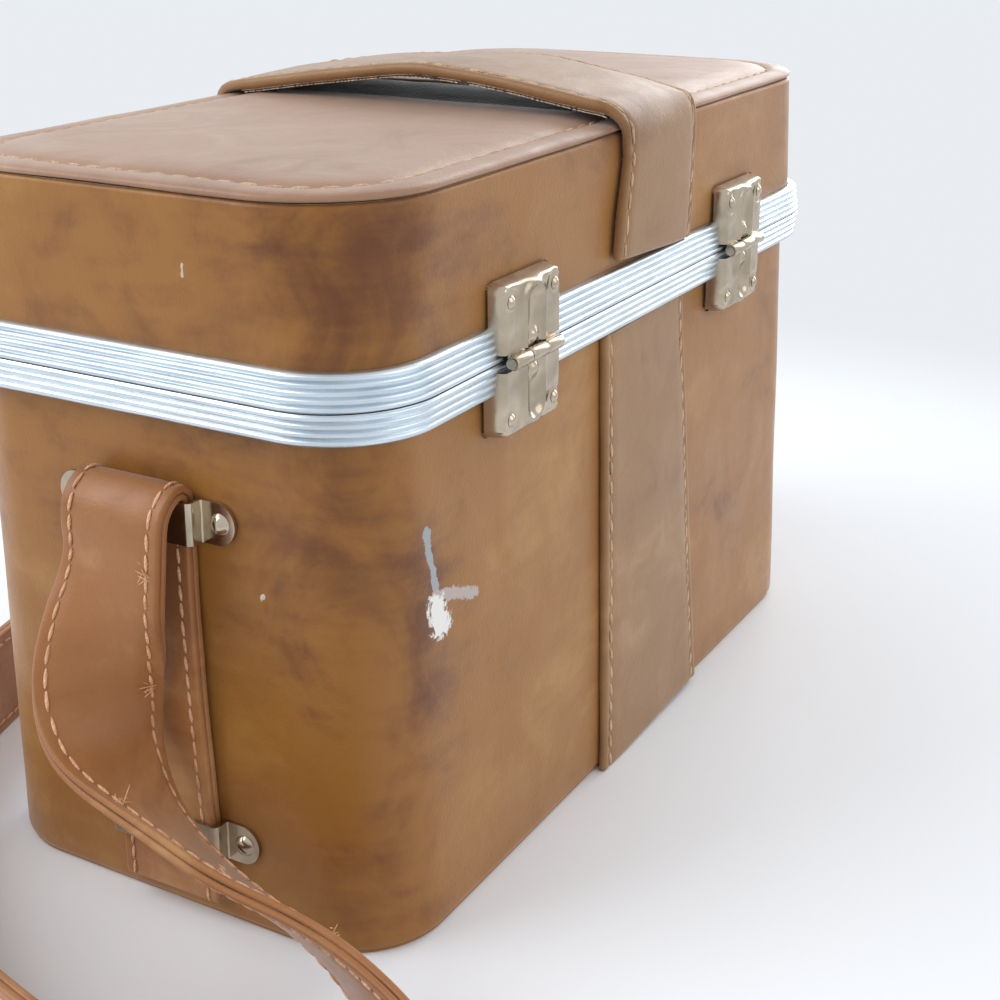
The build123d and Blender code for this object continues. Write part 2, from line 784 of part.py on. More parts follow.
# The rest of its way along the floor, on its edge, to the other end of the case. Each point has
# the share of the foot's half length and half depth that it starts from, then how far it lies
# from there, along and across.
floor_run = (
    (1, 0, 59, 130),
    (1, 0, 73, 131),
    (1, 0, 85, 121),
    (1, 0, 91, 103),
    (1, 0, 90, 66),
    (1, 0, 83, 20),
    (1, -0.5, 63, 4.25),
    (1, -1, 35, 2.5),
    (1, -1, -5, -27.5),
    (0.5, -1, 12.5, -49.5),
    (0, -1, 0, -65.5),
    (-0.5, -1, -12.5, -75.5),
    (-1, -1, 5, -83.5),
    (-1, -0.5, -30, -118.75),
    (-1, 0, -48, -144),
)
floor_level = 17.8


def turned(row):
    """A row of the end run, turned half way round the case."""
    return (-row[0], -row[1], row[2], -row[3], -row[4], row[5])


def smoothed(rows, fine, coarse, far):
    """Rows with more between them, on a smooth curve. Rows beyond the far distance are coarser."""
    steps = [dist(a[:3], b[:3]) for a, b in zip(rows, rows[1:])]
    slopes = [[(b - a) / steps[0] for a, b in zip(rows[0], rows[1])]]
    for before, here, after, step, next_step in zip(rows, rows[1:], rows[2:], steps, steps[1:]):
        slopes.append(
            [
                ((b - a) / step * next_step + (c - b) / next_step * step) / (step + next_step)
                for a, b, c in zip(before, here, after)
            ]
        )
    slopes.append([(b - a) / steps[-1] for a, b in zip(rows[-2], rows[-1])])
    result = []
    for index, step in enumerate(steps):
        spacing = coarse if abs(rows[index][0]) + abs(rows[index][1]) > far else fine
        count = max(1, round(step / spacing))
        for part in range(count):
            t = part / count
            weights = (
                2 * t**3 - 3 * t**2 + 1,
                (t**3 - 2 * t**2 + t) * step,
                3 * t**2 - 2 * t**3,
                (t**3 - t**2) * step,
            )
            terms = zip(rows[index], slopes[index], rows[index + 1], slopes[index + 1])
            result.append([sum(w * v for w, v in zip(weights, four)) for four in terms])
    result.append(list(rows[-1]))
    return result


foot_half_length = length / 2 + base_flare
foot_half_depth = depth / 2 + base_flare
near_end = [(foot_half_length + out, *rest) for out, *rest in end_run]
on_floor = [
    (
        along_share * foot_half_length + along_more,
        across_share * foot_half_depth + across_more,
        floor_level,
        *(0, 0, -1),
    )
    for along_share, across_share, along_more, across_more in floor_run
]
strap_rows = smoothed(
    near_end + on_floor + [turned(row) for row in reversed(near_end)],
    strap_step,
    strap_floor_step,
    strap_far,
)


def strap_ply(offset, thickness):
    """One ply of the strap, set off from its middle."""
    with BuildPart() as ply:
        for index, row in enumerate(strap_rows):
            here = Vector(*row[:3])
            ahead = Vector(*strap_rows[min(index + 1, len(strap_rows) - 1)][:3])
            behind = Vector(*strap_rows[max(index - 1, 0)][:3])
            run = (ahead - behind).normalized()
            width = Vector(*row[3:])
            width = (width - run * width.dot(run)).normalized()
            with BuildSketch(
                Plane(origin=here + run.cross(width) * offset, x_dir=width, z_dir=run)
            ):
                Rectangle(strap_width, thickness)
        loft(ruled=True)
    return ply


ply_thickness = (strap_thickness - ply_gap) / 2
ply_offset = (strap_thickness - ply_thickness) / 2
keep(strap_ply(ply_offset, ply_thickness), "strap_outer_ply")
keep(strap_ply(-ply_offset, ply_thickness), "strap_inner_ply")
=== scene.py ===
# %% [markdown]
# # A camera case in worn brown leather
# The case is a stiff box with a hinged lid. Everything on it is hand work: glued leather, sewn
# belts, a padded top, ribbed aluminium edge bands and small pressed fittings in nickel plate.
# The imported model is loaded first. It is the fixed frame, and each new piece is built round it,
# in metres, so a piece goes where the frame says without any fitting.

# %% Load the frame
import json
import math
from bisect import bisect_right

import bmesh
import bpy
from mathutils import Matrix, Vector, noise


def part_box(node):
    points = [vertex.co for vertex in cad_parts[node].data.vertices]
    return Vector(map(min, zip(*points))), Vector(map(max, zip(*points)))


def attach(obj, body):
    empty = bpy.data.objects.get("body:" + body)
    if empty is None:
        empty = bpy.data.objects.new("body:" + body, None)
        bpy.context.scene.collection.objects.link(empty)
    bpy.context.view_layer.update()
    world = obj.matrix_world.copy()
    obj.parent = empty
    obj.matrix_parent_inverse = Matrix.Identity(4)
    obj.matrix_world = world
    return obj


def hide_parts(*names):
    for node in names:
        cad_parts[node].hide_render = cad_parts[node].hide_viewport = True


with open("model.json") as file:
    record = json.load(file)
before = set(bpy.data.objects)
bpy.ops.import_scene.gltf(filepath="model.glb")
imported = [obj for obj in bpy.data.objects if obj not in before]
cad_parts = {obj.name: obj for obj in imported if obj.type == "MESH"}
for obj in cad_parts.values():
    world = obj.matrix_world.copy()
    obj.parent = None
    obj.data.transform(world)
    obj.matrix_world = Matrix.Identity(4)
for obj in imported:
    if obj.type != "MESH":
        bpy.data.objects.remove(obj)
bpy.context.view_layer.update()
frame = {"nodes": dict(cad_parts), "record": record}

mm = 0.001

# %% [markdown]
# ## The camera
# The photograph is a close view over the end of the case. Its camera was worked out from the
# case's straight edges, so the picture's edges fall on the same places as in the photograph.
# The camera is placed by three directions: right, up and the way it looks.

# %% Place the camera
camera_data = bpy.data.cameras.new("camera")
camera = bpy.data.objects.new("camera", camera_data)
bpy.context.scene.collection.objects.link(camera)
bpy.context.scene.camera = camera
camera_data.sensor_width = 36.0
camera_data.lens = 58.03
camera_right = Vector((-0.49999, 0.86601, -0.00546))
camera_up = Vector((-0.32331, -0.18081, 0.92886))
camera_forward = Vector((-0.80342, -0.46619, -0.37039))
turn = Matrix((camera_right, camera_up, -camera_forward)).transposed().to_4x4()
camera_place = (0.4535, 0.28559, 0.28694)
camera.matrix_world = Matrix.Translation(camera_place) @ turn
print("camera lens", camera_data.lens)

# %% [markdown]
# ## Selecting, as by hand
# Operators work on whatever is selected, so each step first clears the selection and then picks
# faces, edges or points by where they are and which way they face. These few helpers do that.

# %% Helpers for selecting
def clear_selection():
    """Back to object mode, with nothing selected."""
    if bpy.context.object and bpy.context.object.mode != "OBJECT":
        bpy.ops.object.mode_set(mode="OBJECT")
    bpy.ops.object.select_all(action="DESELECT")


def activate(*pieces):
    """Select these pieces only. The first one is active."""
    clear_selection()
    for piece in pieces:
        piece.select_set(True)
    bpy.context.view_layer.objects.active = pieces[0]


def edit(piece):
    """Open a piece in edit mode with nothing selected."""
    activate(piece)
    bpy.ops.object.mode_set(mode="EDIT")
    bpy.ops.mesh.select_all(action="DESELECT")


def pick(piece, kind, wanted):
    """Select in edit mode what the wanted test is true for, by middle and by normal or run."""
    bpy.ops.mesh.select_mode(type=kind)
    bpy.ops.mesh.select_all(action="DESELECT")
    mesh = bmesh.from_edit_mesh(piece.data)
    if kind == "FACE":
        for face in mesh.faces:
            face.select_set(bool(wanted(face.calc_center_median(), face.normal)))
    elif kind == "EDGE":
        for edge in mesh.edges:
            run = edge.verts[1].co - edge.verts[0].co
            edge.select_set(bool(wanted((edge.verts[0].co + edge.verts[1].co) / 2, run)))
    else:
        for point in mesh.verts:
            point.select_set(bool(wanted(point.co, point.normal)))
    mesh.select_flush_mode()
    bmesh.update_edit_mesh(piece.data)


def apply_modifier(piece, kind, **settings):
    """Add a modifier, set it and apply it."""
    activate(piece)
    modifier = piece.modifiers.new(kind.lower(), kind)
    for name, value in settings.items():
        setattr(modifier, name, value)
    bpy.ops.object.modifier_apply(modifier=modifier.name)


def soften(piece, width, steps, angle):
    """Round the edges that are sharper than the angle."""
    apply_modifier(
        piece,
        "BEVEL",
        width=width,
        segments=steps,
        limit_method="ANGLE",
        angle_limit=math.radians(angle),
    )


def smooth(piece, angle=40):
    """Shade a piece smooth, and keep the edges sharper than the angle."""
    activate(piece)
    bpy.ops.object.shade_smooth_by_angle(angle=math.radians(angle))


def outwards(piece):
    """Merge doubled points and turn every face outwards."""
    edit(piece)
    bpy.ops.mesh.select_all(action="SELECT")
    bpy.ops.mesh.remove_doubles(threshold=0.00001)
    bpy.ops.mesh.normals_make_consistent(inside=False)
    bpy.ops.object.mode_set(mode="OBJECT")


def join(name, pieces):
    """Join pieces into the first one and name it."""
    activate(*pieces)
    if len(pieces) > 1:
        bpy.ops.object.join()
    pieces[0].name = name
    return pieces[0]


def settle(piece):
    """Put the piece's place and turn into its mesh, so its object sits at the origin."""
    activate(piece)
    bpy.ops.object.transform_apply(location=True, rotation=True, scale=True)
    return piece


def finish_piece(piece, material, body, slot, *nodes):
    """Give a finished piece its material and its body, and hide the frame nodes that it stands for.
    """
    piece.data.materials.clear()
    piece.data.materials.append(material)
    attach(piece, body)
    if nodes:
        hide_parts(*nodes)
    print(piece.name, len(piece.data.polygons), "faces")
    return piece


# %% [markdown]
# ## Finishes
# Each finish is a small net of nodes. A pattern reads the object's own coordinates, so it stays
# on the piece when the lid turns. These helpers add nodes and join them up, in one line each.

# %% Helpers for materials
def new_finish(name, **sockets):
    """A material, with the numbers that are the same all over set on its shader."""
    material = bpy.data.materials.new(name)
    material.use_nodes = True
    shader = material.node_tree.nodes["Principled BSDF"]
    for socket, value in sockets.items():
        shader.inputs[socket.replace("_", " ")].default_value = value
    return material


def node(material, kind, inputs=None, **settings):
    """Add a node. An input is a number, a colour or another node's output."""
    made = material.node_tree.nodes.new("ShaderNode" + kind)
    for name, value in settings.items():
        setattr(made, name, value)
    for name, value in (inputs or {}).items():
        if isinstance(value, bpy.types.NodeSocket):
            material.node_tree.links.new(value, made.inputs[name])
        else:
            made.inputs[name].default_value = value
    return made


def feed(material, socket, output):
    """Join an output to one of the shader's sockets."""
    shader = material.node_tree.nodes["Principled BSDF"]
    material.node_tree.links.new(output, shader.inputs[socket])


def colours(material, value, *stops):
    """A colour ramp: each stop is (place, colour)."""
    ramp = node(material, "ValToRGB", {"Fac": value})
    ramp.color_ramp.interpolation = "EASE"
    elements = ramp.color_ramp.elements
    while len(elements) < len(stops):
        elements.new(0.5)
    for element, (place, colour) in zip(elements, stops):
        element.position = place
        element.color = (*colour, 1)
    return ramp.outputs["Color"]


def mixed(material, share, first, second):
    """Mix two colours by a share."""
    made = node(material, "Mix", data_type="RGBA")
    for index, value in ((0, share), (6, first), (7, second)):
        if isinstance(value, bpy.types.NodeSocket):
            material.node_tree.links.new(value, made.inputs[index])
        elif index:
            made.inputs[index].default_value = (*value, 1)
        else:
            made.inputs[index].default_value = value
    return made.outputs[2]


def sums(material, operation, first, second=0.0, third=0.0):
    """One step of arithmetic."""
    made = node(material, "Math", operation=operation)
    for index, value in enumerate((first, second, third)):
        if isinstance(value, bpy.types.NodeSocket):
            material.node_tree.links.new(value, made.inputs[index])
        else:
            made.inputs[index].default_value = value
    return made.outputs[0]


def ranged(material, value, low, high, new_low=0.0, new_high=1.0):
    """Stretch a value from one range to another, with soft ends."""
    made = node(
        material,
        "MapRange",
        {"Value": value, "From Min": low, "From Max": high, "To Min": new_low, "To Max": new_high},
        interpolation_type="SMOOTHSTEP",
    )
    return made.outputs["Result"]


def clouds(material, scale, detail=3.0, rough=0.5, twist=0.0, stretch=None):
    """Noise on the object's own coordinates."""
    place = node(material, "TexCoord").outputs["Object"]
    if stretch:
        place = node(material, "Mapping", {"Vector": place, "Scale": stretch}).outputs["Vector"]
    inputs = {"Vector": place, "Scale": scale, "Detail": detail, "Roughness": rough}
    inputs["Distortion"] = twist
    return node(material, "TexNoise", inputs).outputs["Fac"]


def background_rays(owner):
    """One for the rays that show a plain background: camera, glossy and transmission."""
    light_path = node(owner, "LightPath")
    seen = sums(
        owner, "MAXIMUM", light_path.outputs["Is Camera Ray"], light_path.outputs["Is Glossy Ray"]
    )
    return sums(owner, "MAXIMUM", seen, light_path.outputs["Is Transmission Ray"])


def bumps(material, height, strength, distance, under=None):
    """A bump on top of another one."""
    inputs = {"Height": height, "Strength": strength, "Distance": distance}
    if under:
        inputs["Normal"] = under
    return node(material, "Bump", inputs).outputs["Normal"]


# %% [markdown]
# ### Leather
# The leather is a smooth, waxed brown hide. It was never one brown: broad clouds of tan and dark
# chestnut drift over it, and a fine grain breaks the gloss. Three sizes of noise and slanting
# streaks are added up and coloured by a ramp, because one size alone looks like camouflage. Painted
# shade is put in as soft dark blots, each a distance from a point. Torn places are distances from
# short lines, with a ragged edge.

# %% Leather
def near_line(material, place, start, end):
    """How far a point is from a short line."""
    start, run = Vector(start), Vector(end) - Vector(start)
    inputs = {0: place, 1: start}
    local = node(material, "VectorMath", inputs, operation="SUBTRACT").outputs["Vector"]
    inputs = {0: local, 1: run / run.length_squared}
    share = node(material, "VectorMath", inputs, operation="DOT_PRODUCT").outputs["Value"]
    share = sums(material, "MINIMUM", sums(material, "MAXIMUM", share, 0.0), 1.0)
    inputs = {0: run, "Scale": share}
    nearest = node(material, "VectorMath", inputs, operation="SCALE").outputs["Vector"]
    inputs = {0: local, 1: nearest}
    return node(material, "VectorMath", inputs, operation="DISTANCE").outputs["Value"]


def leather(name, dark, middle, light, shade_blots=(), tears=(), gloss=0.42):
    """Waxed leather. A blot of painted shade is (x, y, z, radius, strength), a tear (start, end,
    radius, colour).
    """
    material = new_finish(name, Specular_IOR_Level=0.42, Sheen_Weight=0.22, Sheen_Roughness=0.45)
    broad = clouds(material, 11, 2, 0.5, 0.8)
    middling = clouds(material, 34, 4, 0.6, 1.2)
    small = clouds(material, 130, 4, 0.65, 0.6)
    total = sums(material, "MULTIPLY_ADD", middling, 0.40, sums(material, "MULTIPLY", broad, 0.60))
    total = sums(material, "MULTIPLY_ADD", sums(material, "SUBTRACT", small, 0.5), 0.14, total)
    turned = node(
        material,
        "Mapping",
        {
            "Vector": node(material, "TexCoord").outputs["Object"],
            "Rotation": (0.6, 0.5, 0.4),
            "Scale": (1, 1, 7),
        },
    )
    streaks = node(
        material, "TexNoise", {"Vector": turned.outputs["Vector"], "Scale": 22.0, "Detail": 4.0}
    ).outputs["Fac"]
    total = sums(material, "MULTIPLY_ADD", sums(material, "SUBTRACT", streaks, 0.5), 0.22, total)
    place = node(material, "TexCoord").outputs["Object"]
    edge = sums(material, "MULTIPLY_ADD", clouds(material, 60, 4, 0.6, 1.0), 0.5, -0.25)
    # Each blot darkens the tone: painted shade
    for x, y, z, radius, strength in shade_blots:
        spot = node(
            material, "VectorMath", {0: place, 1: (x, y, z)}, operation="DISTANCE"
        ).outputs["Value"]
        share = sums(material, "DIVIDE", spot, radius)
        share = sums(material, "ADD", share, edge)
        painted_shade = ranged(material, share, 1.15, 0.0, 0.0, strength)
        total = sums(material, "SUBTRACT", total, painted_shade)
    colour = colours(material, total, (0.20, dark), (0.49, middle), (0.78, light))
    ragged = clouds(material, 210, 5, 0.75, 0.8)
    raggedness, whole_from, torn_to = 3.2, 2.65, 2.35
    for start, end, radius, shade in tears:
        line = near_line(material, place, start, end)
        away = sums(material, "MULTIPLY_ADD", ragged, radius * raggedness, line)
        torn = ranged(material, away, radius * whole_from, radius * torn_to)
        colour = mixed(material, torn, colour, shade)
    feed(material, "Base Color", colour)
    rough = ranged(material, middling, 0.3, 0.7, gloss + 0.05, gloss - 0.05)
    rough = sums(material, "MULTIPLY_ADD", sums(material, "SUBTRACT", small, 0.5), 0.18, rough)
    feed(material, "Roughness", rough)
    creases = node(
        material, "TexVoronoi", {"Vector": place, "Scale": 620.0}, feature="DISTANCE_TO_EDGE"
    ).outputs["Distance"]
    grain = bumps(material, ranged(material, creases, 0.0, 0.25), 0.10, 0.0003)
    relief = bumps(material, clouds(material, 170, 5, 0.7), 0.22, 0.0006, grain)
    relief = bumps(material, clouds(material, 26, 3, 0.5), 0.35, 0.0016, relief)
    feed(material, "Normal", relief)
    return material


# Blots of painted shade: along the near corner, low on the end wall, and on the long wall
case_shade_blots = (
    (0.148, 0.060, 0.120, 0.046, 0.17),
    (0.150, 0.060, 0.066, 0.048, 0.15),
    (0.144, 0.062, 0.190, 0.044, 0.14),
    (0.105, 0.075, 0.195, 0.040, 0.08),
)
# The torn place on the back wall, a speck on the end wall and a scratch on the lid's end
case_tears = (
    ((0.1255, 0.0731, 0.1222), (0.1215, 0.0733, 0.1015), 0.0016, (0.34, 0.37, 0.38)),
    ((0.1225, 0.0733, 0.1030), (0.1020, 0.0736, 0.0957), 0.0019, (0.47, 0.39, 0.35)),
    ((0.1225, 0.0735, 0.0995), (0.1200, 0.0737, 0.0925), 0.0042, (0.83, 0.82, 0.78)),
    ((0.1520, 0.0380, 0.1065), (0.1520, 0.0375, 0.1050), 0.0007, (0.70, 0.62, 0.52)),
    ((0.1522, 0.0200, 0.1935), (0.1522, 0.0197, 0.1905), 0.0006, (0.60, 0.50, 0.42)),
)
case_leather = leather(
    "case leather",
    (0.140, 0.040, 0.006),
    (0.325, 0.132, 0.018),
    (0.430, 0.208, 0.044),
    case_shade_blots,
    case_tears,
)
# The top is paler and greyer than the walls: painted reflection of the bright room on its waxed
# face
top_leather_painted_haze = leather(
    "top leather painted haze", (0.210, 0.100, 0.055), (0.370, 0.205, 0.120), (0.480, 0.300, 0.200)
)
belt_leather = leather(
    "belt leather", (0.170, 0.072, 0.024), (0.300, 0.152, 0.056), (0.400, 0.222, 0.092)
)
strap_leather = leather(
    "strap leather", (0.170, 0.056, 0.013), (0.350, 0.138, 0.040), (0.520, 0.270, 0.105)
)
# The lining ply under the handle: a near-black copy of the leather, painted shade for the shadow
# beneath the handle
painted_shade_ply = leather("lining ply in painted shade", (0.030, 0.012, 0.006), (0.070, 0.028, 0.012), (0.130, 0.060, 0.026))
print("leathers made")

# %% [markdown]
# ### Metals
# The bands are bare aluminium, drawn through a die, so very fine lines run along them. The
# fittings are nickel plate, which is warmer and has dulled unevenly.

# %% Metals
def drawn_aluminium():
    material = new_finish("drawn aluminium", Metallic=1.0, IOR=1.4)
    tone = clouds(material, 60, 3, 0.5, stretch=(1, 1, 6))
    feed(
        material,
        "Base Color",
        colours(material, tone, (0.3, (0.60, 0.68, 0.74)), (0.7, (0.72, 0.80, 0.86))),
    )
    lines = clouds(material, 40, 4, 0.7, stretch=(1, 1, 90))
    feed(material, "Roughness", ranged(material, lines, 0.2, 0.8, 0.24, 0.40))
    feed(material, "Normal", bumps(material, lines, 0.25, 0.0002))
    return material


def nickel_plate():
    """Nickel plate, in some places duller and warmer than in others."""
    material = new_finish("nickel plate", Metallic=1.0, IOR=1.6)
    dull = clouds(material, 90, 3, 0.5, 0.3)
    fine = clouds(material, 2600, 3, 0.6)
    feed(
        material,
        "Base Color",
        colours(material, dull, (0.30, (0.40, 0.335, 0.25)), (0.65, (0.55, 0.465, 0.355))),
    )
    rough = ranged(material, dull, 0.3, 0.65, 0.26, 0.17)
    feed(material, "Roughness", rough)
    relief = bumps(material, fine, 0.08, 0.0001)
    feed(material, "Normal", bumps(material, dull, 0.10, 0.0006, relief))
    return material


aluminium = drawn_aluminium()
nickel = nickel_plate()
print("metals made")

# %% [markdown]
# ### Thread, cloth, board and foam
# Thread is waxed and twisted, so it gets a fast slanting bump. The lining is a plain weave: two
# sets of waves cross each other. The board shows only where the lid's rim is open.

# %% Thread, cloth and board
def sewing_thread(name, colour, shade):
    material = new_finish(name, IOR=1.45)
    feed(
        material,
        "Base Color",
        colours(material, clouds(material, 260, 3, 0.6), (0.35, shade), (0.6, colour)),
    )
    feed(material, "Roughness", ranged(material, clouds(material, 900, 2), 0.3, 0.7, 0.5, 0.7))
    place = node(material, "TexCoord").outputs["Object"]
    slant = node(material, "Mapping", {"Vector": place, "Rotation": (0.5, 0.6, 0.7)})
    twist = node(
        material,
        "TexWave",
        {"Vector": slant.outputs["Vector"], "Scale": 420.0, "Distortion": 1.5, "Detail": 1.0},
    ).outputs["Fac"]
    feed(material, "Normal", bumps(material, twist, 0.4, 0.0003))
    return material


def woven_cloth(name, dark, light, threads):
    """Plain weave with this many threads in a metre."""
    material = new_finish(name, Sheen_Weight=0.25, Specular_IOR_Level=0.25)
    place = node(material, "TexCoord").outputs["Object"]
    waves = []
    for axis in ("X", "Y", "Z"):
        wave = node(
            material,
            "TexWave",
            {"Vector": place, "Scale": threads / 6.3, "Distortion": 0.6, "Detail": 1.0},
            bands_direction=axis,
        )
        waves.append(wave.outputs["Fac"])
    weave = sums(material, "MULTIPLY", waves[0], waves[1])
    weave = sums(material, "ADD", weave, sums(material, "MULTIPLY", waves[2], 0.5))
    worn = clouds(material, 28, 4, 0.6, 0.5)
    tone = sums(material, "MULTIPLY_ADD", weave, 0.25, worn)
    feed(material, "Base Color", colours(material, tone, (0.35, dark), (0.9, light)))
    feed(material, "Roughness", ranged(material, worn, 0.3, 0.7, 0.9, 0.75))
    feed(material, "Normal", bumps(material, weave, 0.5, 0.0004))
    return material


def grey_board():
    material = new_finish("grey board", Specular_IOR_Level=0.3)
    fibres = clouds(material, 500, 5, 0.7, 0.5, (1, 1, 4))
    feed(
        material,
        "Base Color",
        colours(material, fibres, (0.3, (0.30, 0.22, 0.14)), (0.7, (0.48, 0.37, 0.25))),
    )
    feed(material, "Roughness", ranged(material, fibres, 0.3, 0.7, 0.8, 0.95))
    feed(material, "Normal", bumps(material, fibres, 0.4, 0.0005))
    return material


def brushed_plush(name, dark, light):
    """Short plush over foam, as on the pads inside."""
    material = new_finish(name, Sheen_Weight=0.6, Specular_IOR_Level=0.2)
    nap = clouds(material, 60, 4, 0.6, 0.7)
    pile = clouds(material, 2400, 3, 0.7)
    tone = sums(material, "MULTIPLY_ADD", pile, 0.35, sums(material, "MULTIPLY", nap, 0.65))
    feed(material, "Base Color", colours(material, tone, (0.35, dark), (0.65, light)))
    feed(material, "Roughness", ranged(material, nap, 0.3, 0.7, 0.95, 0.8))
    relief = bumps(material, pile, 0.5, 0.0005)
    feed(material, "Normal", bumps(material, nap, 0.3, 0.002, relief))
    return material


tan_thread = sewing_thread("tan thread", (0.66, 0.46, 0.28), (0.50, 0.31, 0.16))
cream_thread = sewing_thread("cream thread", (0.80, 0.68, 0.52), (0.62, 0.48, 0.33))
peach_thread = sewing_thread("peach thread", (0.80, 0.48, 0.27), (0.62, 0.33, 0.17))
lining_cloth = woven_cloth("lining cloth", (0.055, 0.032, 0.022), (0.13, 0.085, 0.06), 900)
grey_cloth = woven_cloth("grey cloth", (0.10, 0.11, 0.115), (0.40, 0.42, 0.42), 700)
board = grey_board()
plush = brushed_plush("brown plush", (0.050, 0.024, 0.014), (0.13, 0.070, 0.042))
print("soft finishes made")

# %% [markdown]
# ## Walls swept round the case
# The walls, the bands and the rim of the top are all one idea: a profile that runs round the
# same rounded rectangle. The rectangle is a plane with bevelled corners. Its edges become a
# curve, and the profile is drawn once, as (outward, up), and carried round it. The lid's corners
# get rounder from the bands to the top, so they are drawn in afterwards.

# %% The wall line and the sweep
case_length = 300 * mm
case_depth = 143 * mm
corner_radius = 24 * mm
half_long = case_length / 2
half_deep = case_depth / 2
parting = 160.7 * mm
lid_top = 211.0 * mm
rounding_start = 171.7 * mm
lid_rounding = 8 * mm


def base_grow(level):
    """How far the base's leather stands outside the wall line at a level."""
    return 5 * mm * (1 - level / parting)


def lid_grow(level):
    """How far the lid's leather stands outside the wall line at a level."""
    return 2 * mm + 0.5 * mm * (level - parting) / (lid_top - parting)


def draw_profile(points, closed):
    """A flat curve through (outward, up) points."""
    data = bpy.data.curves.new("profile", "CURVE")
    data.dimensions = "2D"
    spline = data.splines.new("POLY")
    spline.points.add(len(points) - 1)
    for point, (out, up) in zip(spline.points, points):
        point.co = (out, up, 0, 1)
    spline.use_cyclic_u = closed
    profile = bpy.data.objects.new("profile", data)
    bpy.context.scene.collection.objects.link(profile)
    return profile


def wall_line(spacing, corner_steps):
    """The rounded rectangle of the walls, as a closed curve."""
    clear_selection()
    bpy.ops.mesh.primitive_plane_add(size=1)
    line = bpy.context.object
    line.scale = (case_length, case_depth, 1)
    settle(line)
    edit(line)
    bpy.ops.mesh.select_all(action="SELECT")
    bpy.ops.mesh.bevel(affect="VERTICES", offset=corner_radius, segments=corner_steps)
    bpy.ops.mesh.delete(type="ONLY_FACE")
    for side in (case_length, case_depth):
        straight = side - 2 * corner_radius
        pick(line, "EDGE", lambda middle, run: abs(run.length - straight) < mm)
        bpy.ops.mesh.subdivide(number_cuts=max(1, round(straight / spacing) - 1))
    bpy.ops.object.mode_set(mode="OBJECT")
    bpy.ops.object.convert(target="CURVE")
    line = bpy.context.object
    points = [point.co for point in line.data.splines[0].points]
    turned = sum(a[0] * b[1] - b[0] * a[1] for a, b in zip(points, points[1:] + points[:1]))
    if turned < 0:
        bpy.ops.object.mode_set(mode="EDIT")
        bpy.ops.curve.select_all(action="SELECT")
        bpy.ops.curve.switch_direction()
        bpy.ops.object.mode_set(mode="OBJECT")
    return line


def sweep(name, points, closed=True, spacing=6 * mm, corner_steps=14):
    """Carry a profile round the wall line."""
    line = wall_line(spacing, corner_steps)
    profile = draw_profile(points, closed)
    line.data.bevel_mode = "OBJECT"
    line.data.bevel_object = profile
    activate(line)
    bpy.ops.object.convert(target="MESH")
    swept = bpy.context.object
    bpy.data.objects.remove(profile)
    swept.name = name
    outwards(swept)
    return swept


def round_corners(piece):
    """Draw the corners in above the bands, where the lid's radius grows to the top."""
    straight_x = half_long - corner_radius
    straight_y = half_deep - corner_radius
    for vertex in piece.data.vertices:
        x, y, z = vertex.co
        shift = lid_rounding * min(1, max(0, (z - rounding_start) / (lid_top - rounding_start)))
        over_x, over_y = abs(x) - straight_x, abs(y) - straight_y
        if over_x > 0 and over_y > 0:
            angle = math.atan2(over_y, over_x)
            radius = math.hypot(over_x, over_y) + shift
            vertex.co.x = math.copysign(straight_x - shift + radius * math.cos(angle), x)
            vertex.co.y = math.copysign(straight_y - shift + radius * math.sin(angle), y)
        elif over_y > 0:
            vertex.co.x = x * (straight_x - shift) / straight_x
        elif over_x > 0:
            vertex.co.y = y * (straight_y - shift) / straight_y


def uneven(piece, height, size, seed=0.0):
    """Push the surface in and out a little, as glued leather is never flat, but not down
    through the floor."""
    for vertex in piece.data.vertices:
        place = vertex.co / size + Vector((seed, seed, seed))
        vertex.co += vertex.normal * height * noise.noise(place)
        vertex.co.z = max(vertex.co.z, 0.0)


# %% [markdown]
# ### The leather walls
# The leather is glued over the board and turned under at the foot, so the foot has a soft round
# edge and a thin dark line of shadow. Under the top panel the lid's leather turns in the same
# way. Low, broad dents of a few tenths of a millimetre break up the reflections.

# %% Leather on the base and the lid
leather_thickness = 1.2 * mm
foot_round = 3.2 * mm
base_top = 158.95 * mm
lid_foot = 162.45 * mm


def climb(bottom, top, grow, inset, rows):
    """Points up a wall."""
    levels = [bottom + (top - bottom) * row / rows for row in range(rows + 1)]
    return [(grow(level) - inset, level) for level in levels]


def quarter(centre_out, centre_up, radius, start, end, steps):
    """Points on an arc of a profile, angles in degrees from outward."""
    angles = [math.radians(start + (end - start) * step / steps) for step in range(steps + 1)]
    return [(centre_out + radius * math.cos(a), centre_up + radius * math.sin(a)) for a in angles]


foot_centre = base_grow(0) - foot_round - 0.1 * mm
base_profile = (
    [(foot_centre - 6 * mm, 0.2 * mm)]
    + quarter(foot_centre, 0.2 * mm + foot_round, foot_round, -90, -8, 7)
    + climb(4 * mm, base_top, base_grow, 0, 30)
    + climb(base_top, 5 * mm, base_grow, leather_thickness, 6)
    + [(foot_centre, 1.6 * mm), (foot_centre - 6 * mm, 1.6 * mm)]
)
base_leather = sweep("base_leather", base_profile)
uneven(base_leather, 0.35 * mm, 45 * mm)
smooth(base_leather, 50)
finish_piece(base_leather, case_leather, "base", "case_leather", "base_cover")

turn_in = 1.3 * mm
lid_profile = (
    climb(lid_foot, lid_top - 1.6 * mm, lid_grow, 0, 12)
    + quarter(lid_grow(lid_top) - turn_in, lid_top - 1.4 * mm, turn_in, 8, 90, 5)
    + [(lid_grow(lid_top) - 6 * mm, lid_top - 0.1 * mm), (lid_grow(lid_top) - 6 * mm, lid_top - mm)]
    + climb(lid_top - 3 * mm, lid_foot, lid_grow, leather_thickness, 4)
)
lid_leather = sweep("lid_leather", lid_profile)
round_corners(lid_leather)
uneven(lid_leather, 0.3 * mm, 40 * mm, 5.0)
smooth(lid_leather, 50)
finish_piece(lid_leather, case_leather, "lid", "case_leather", "lid_cover")

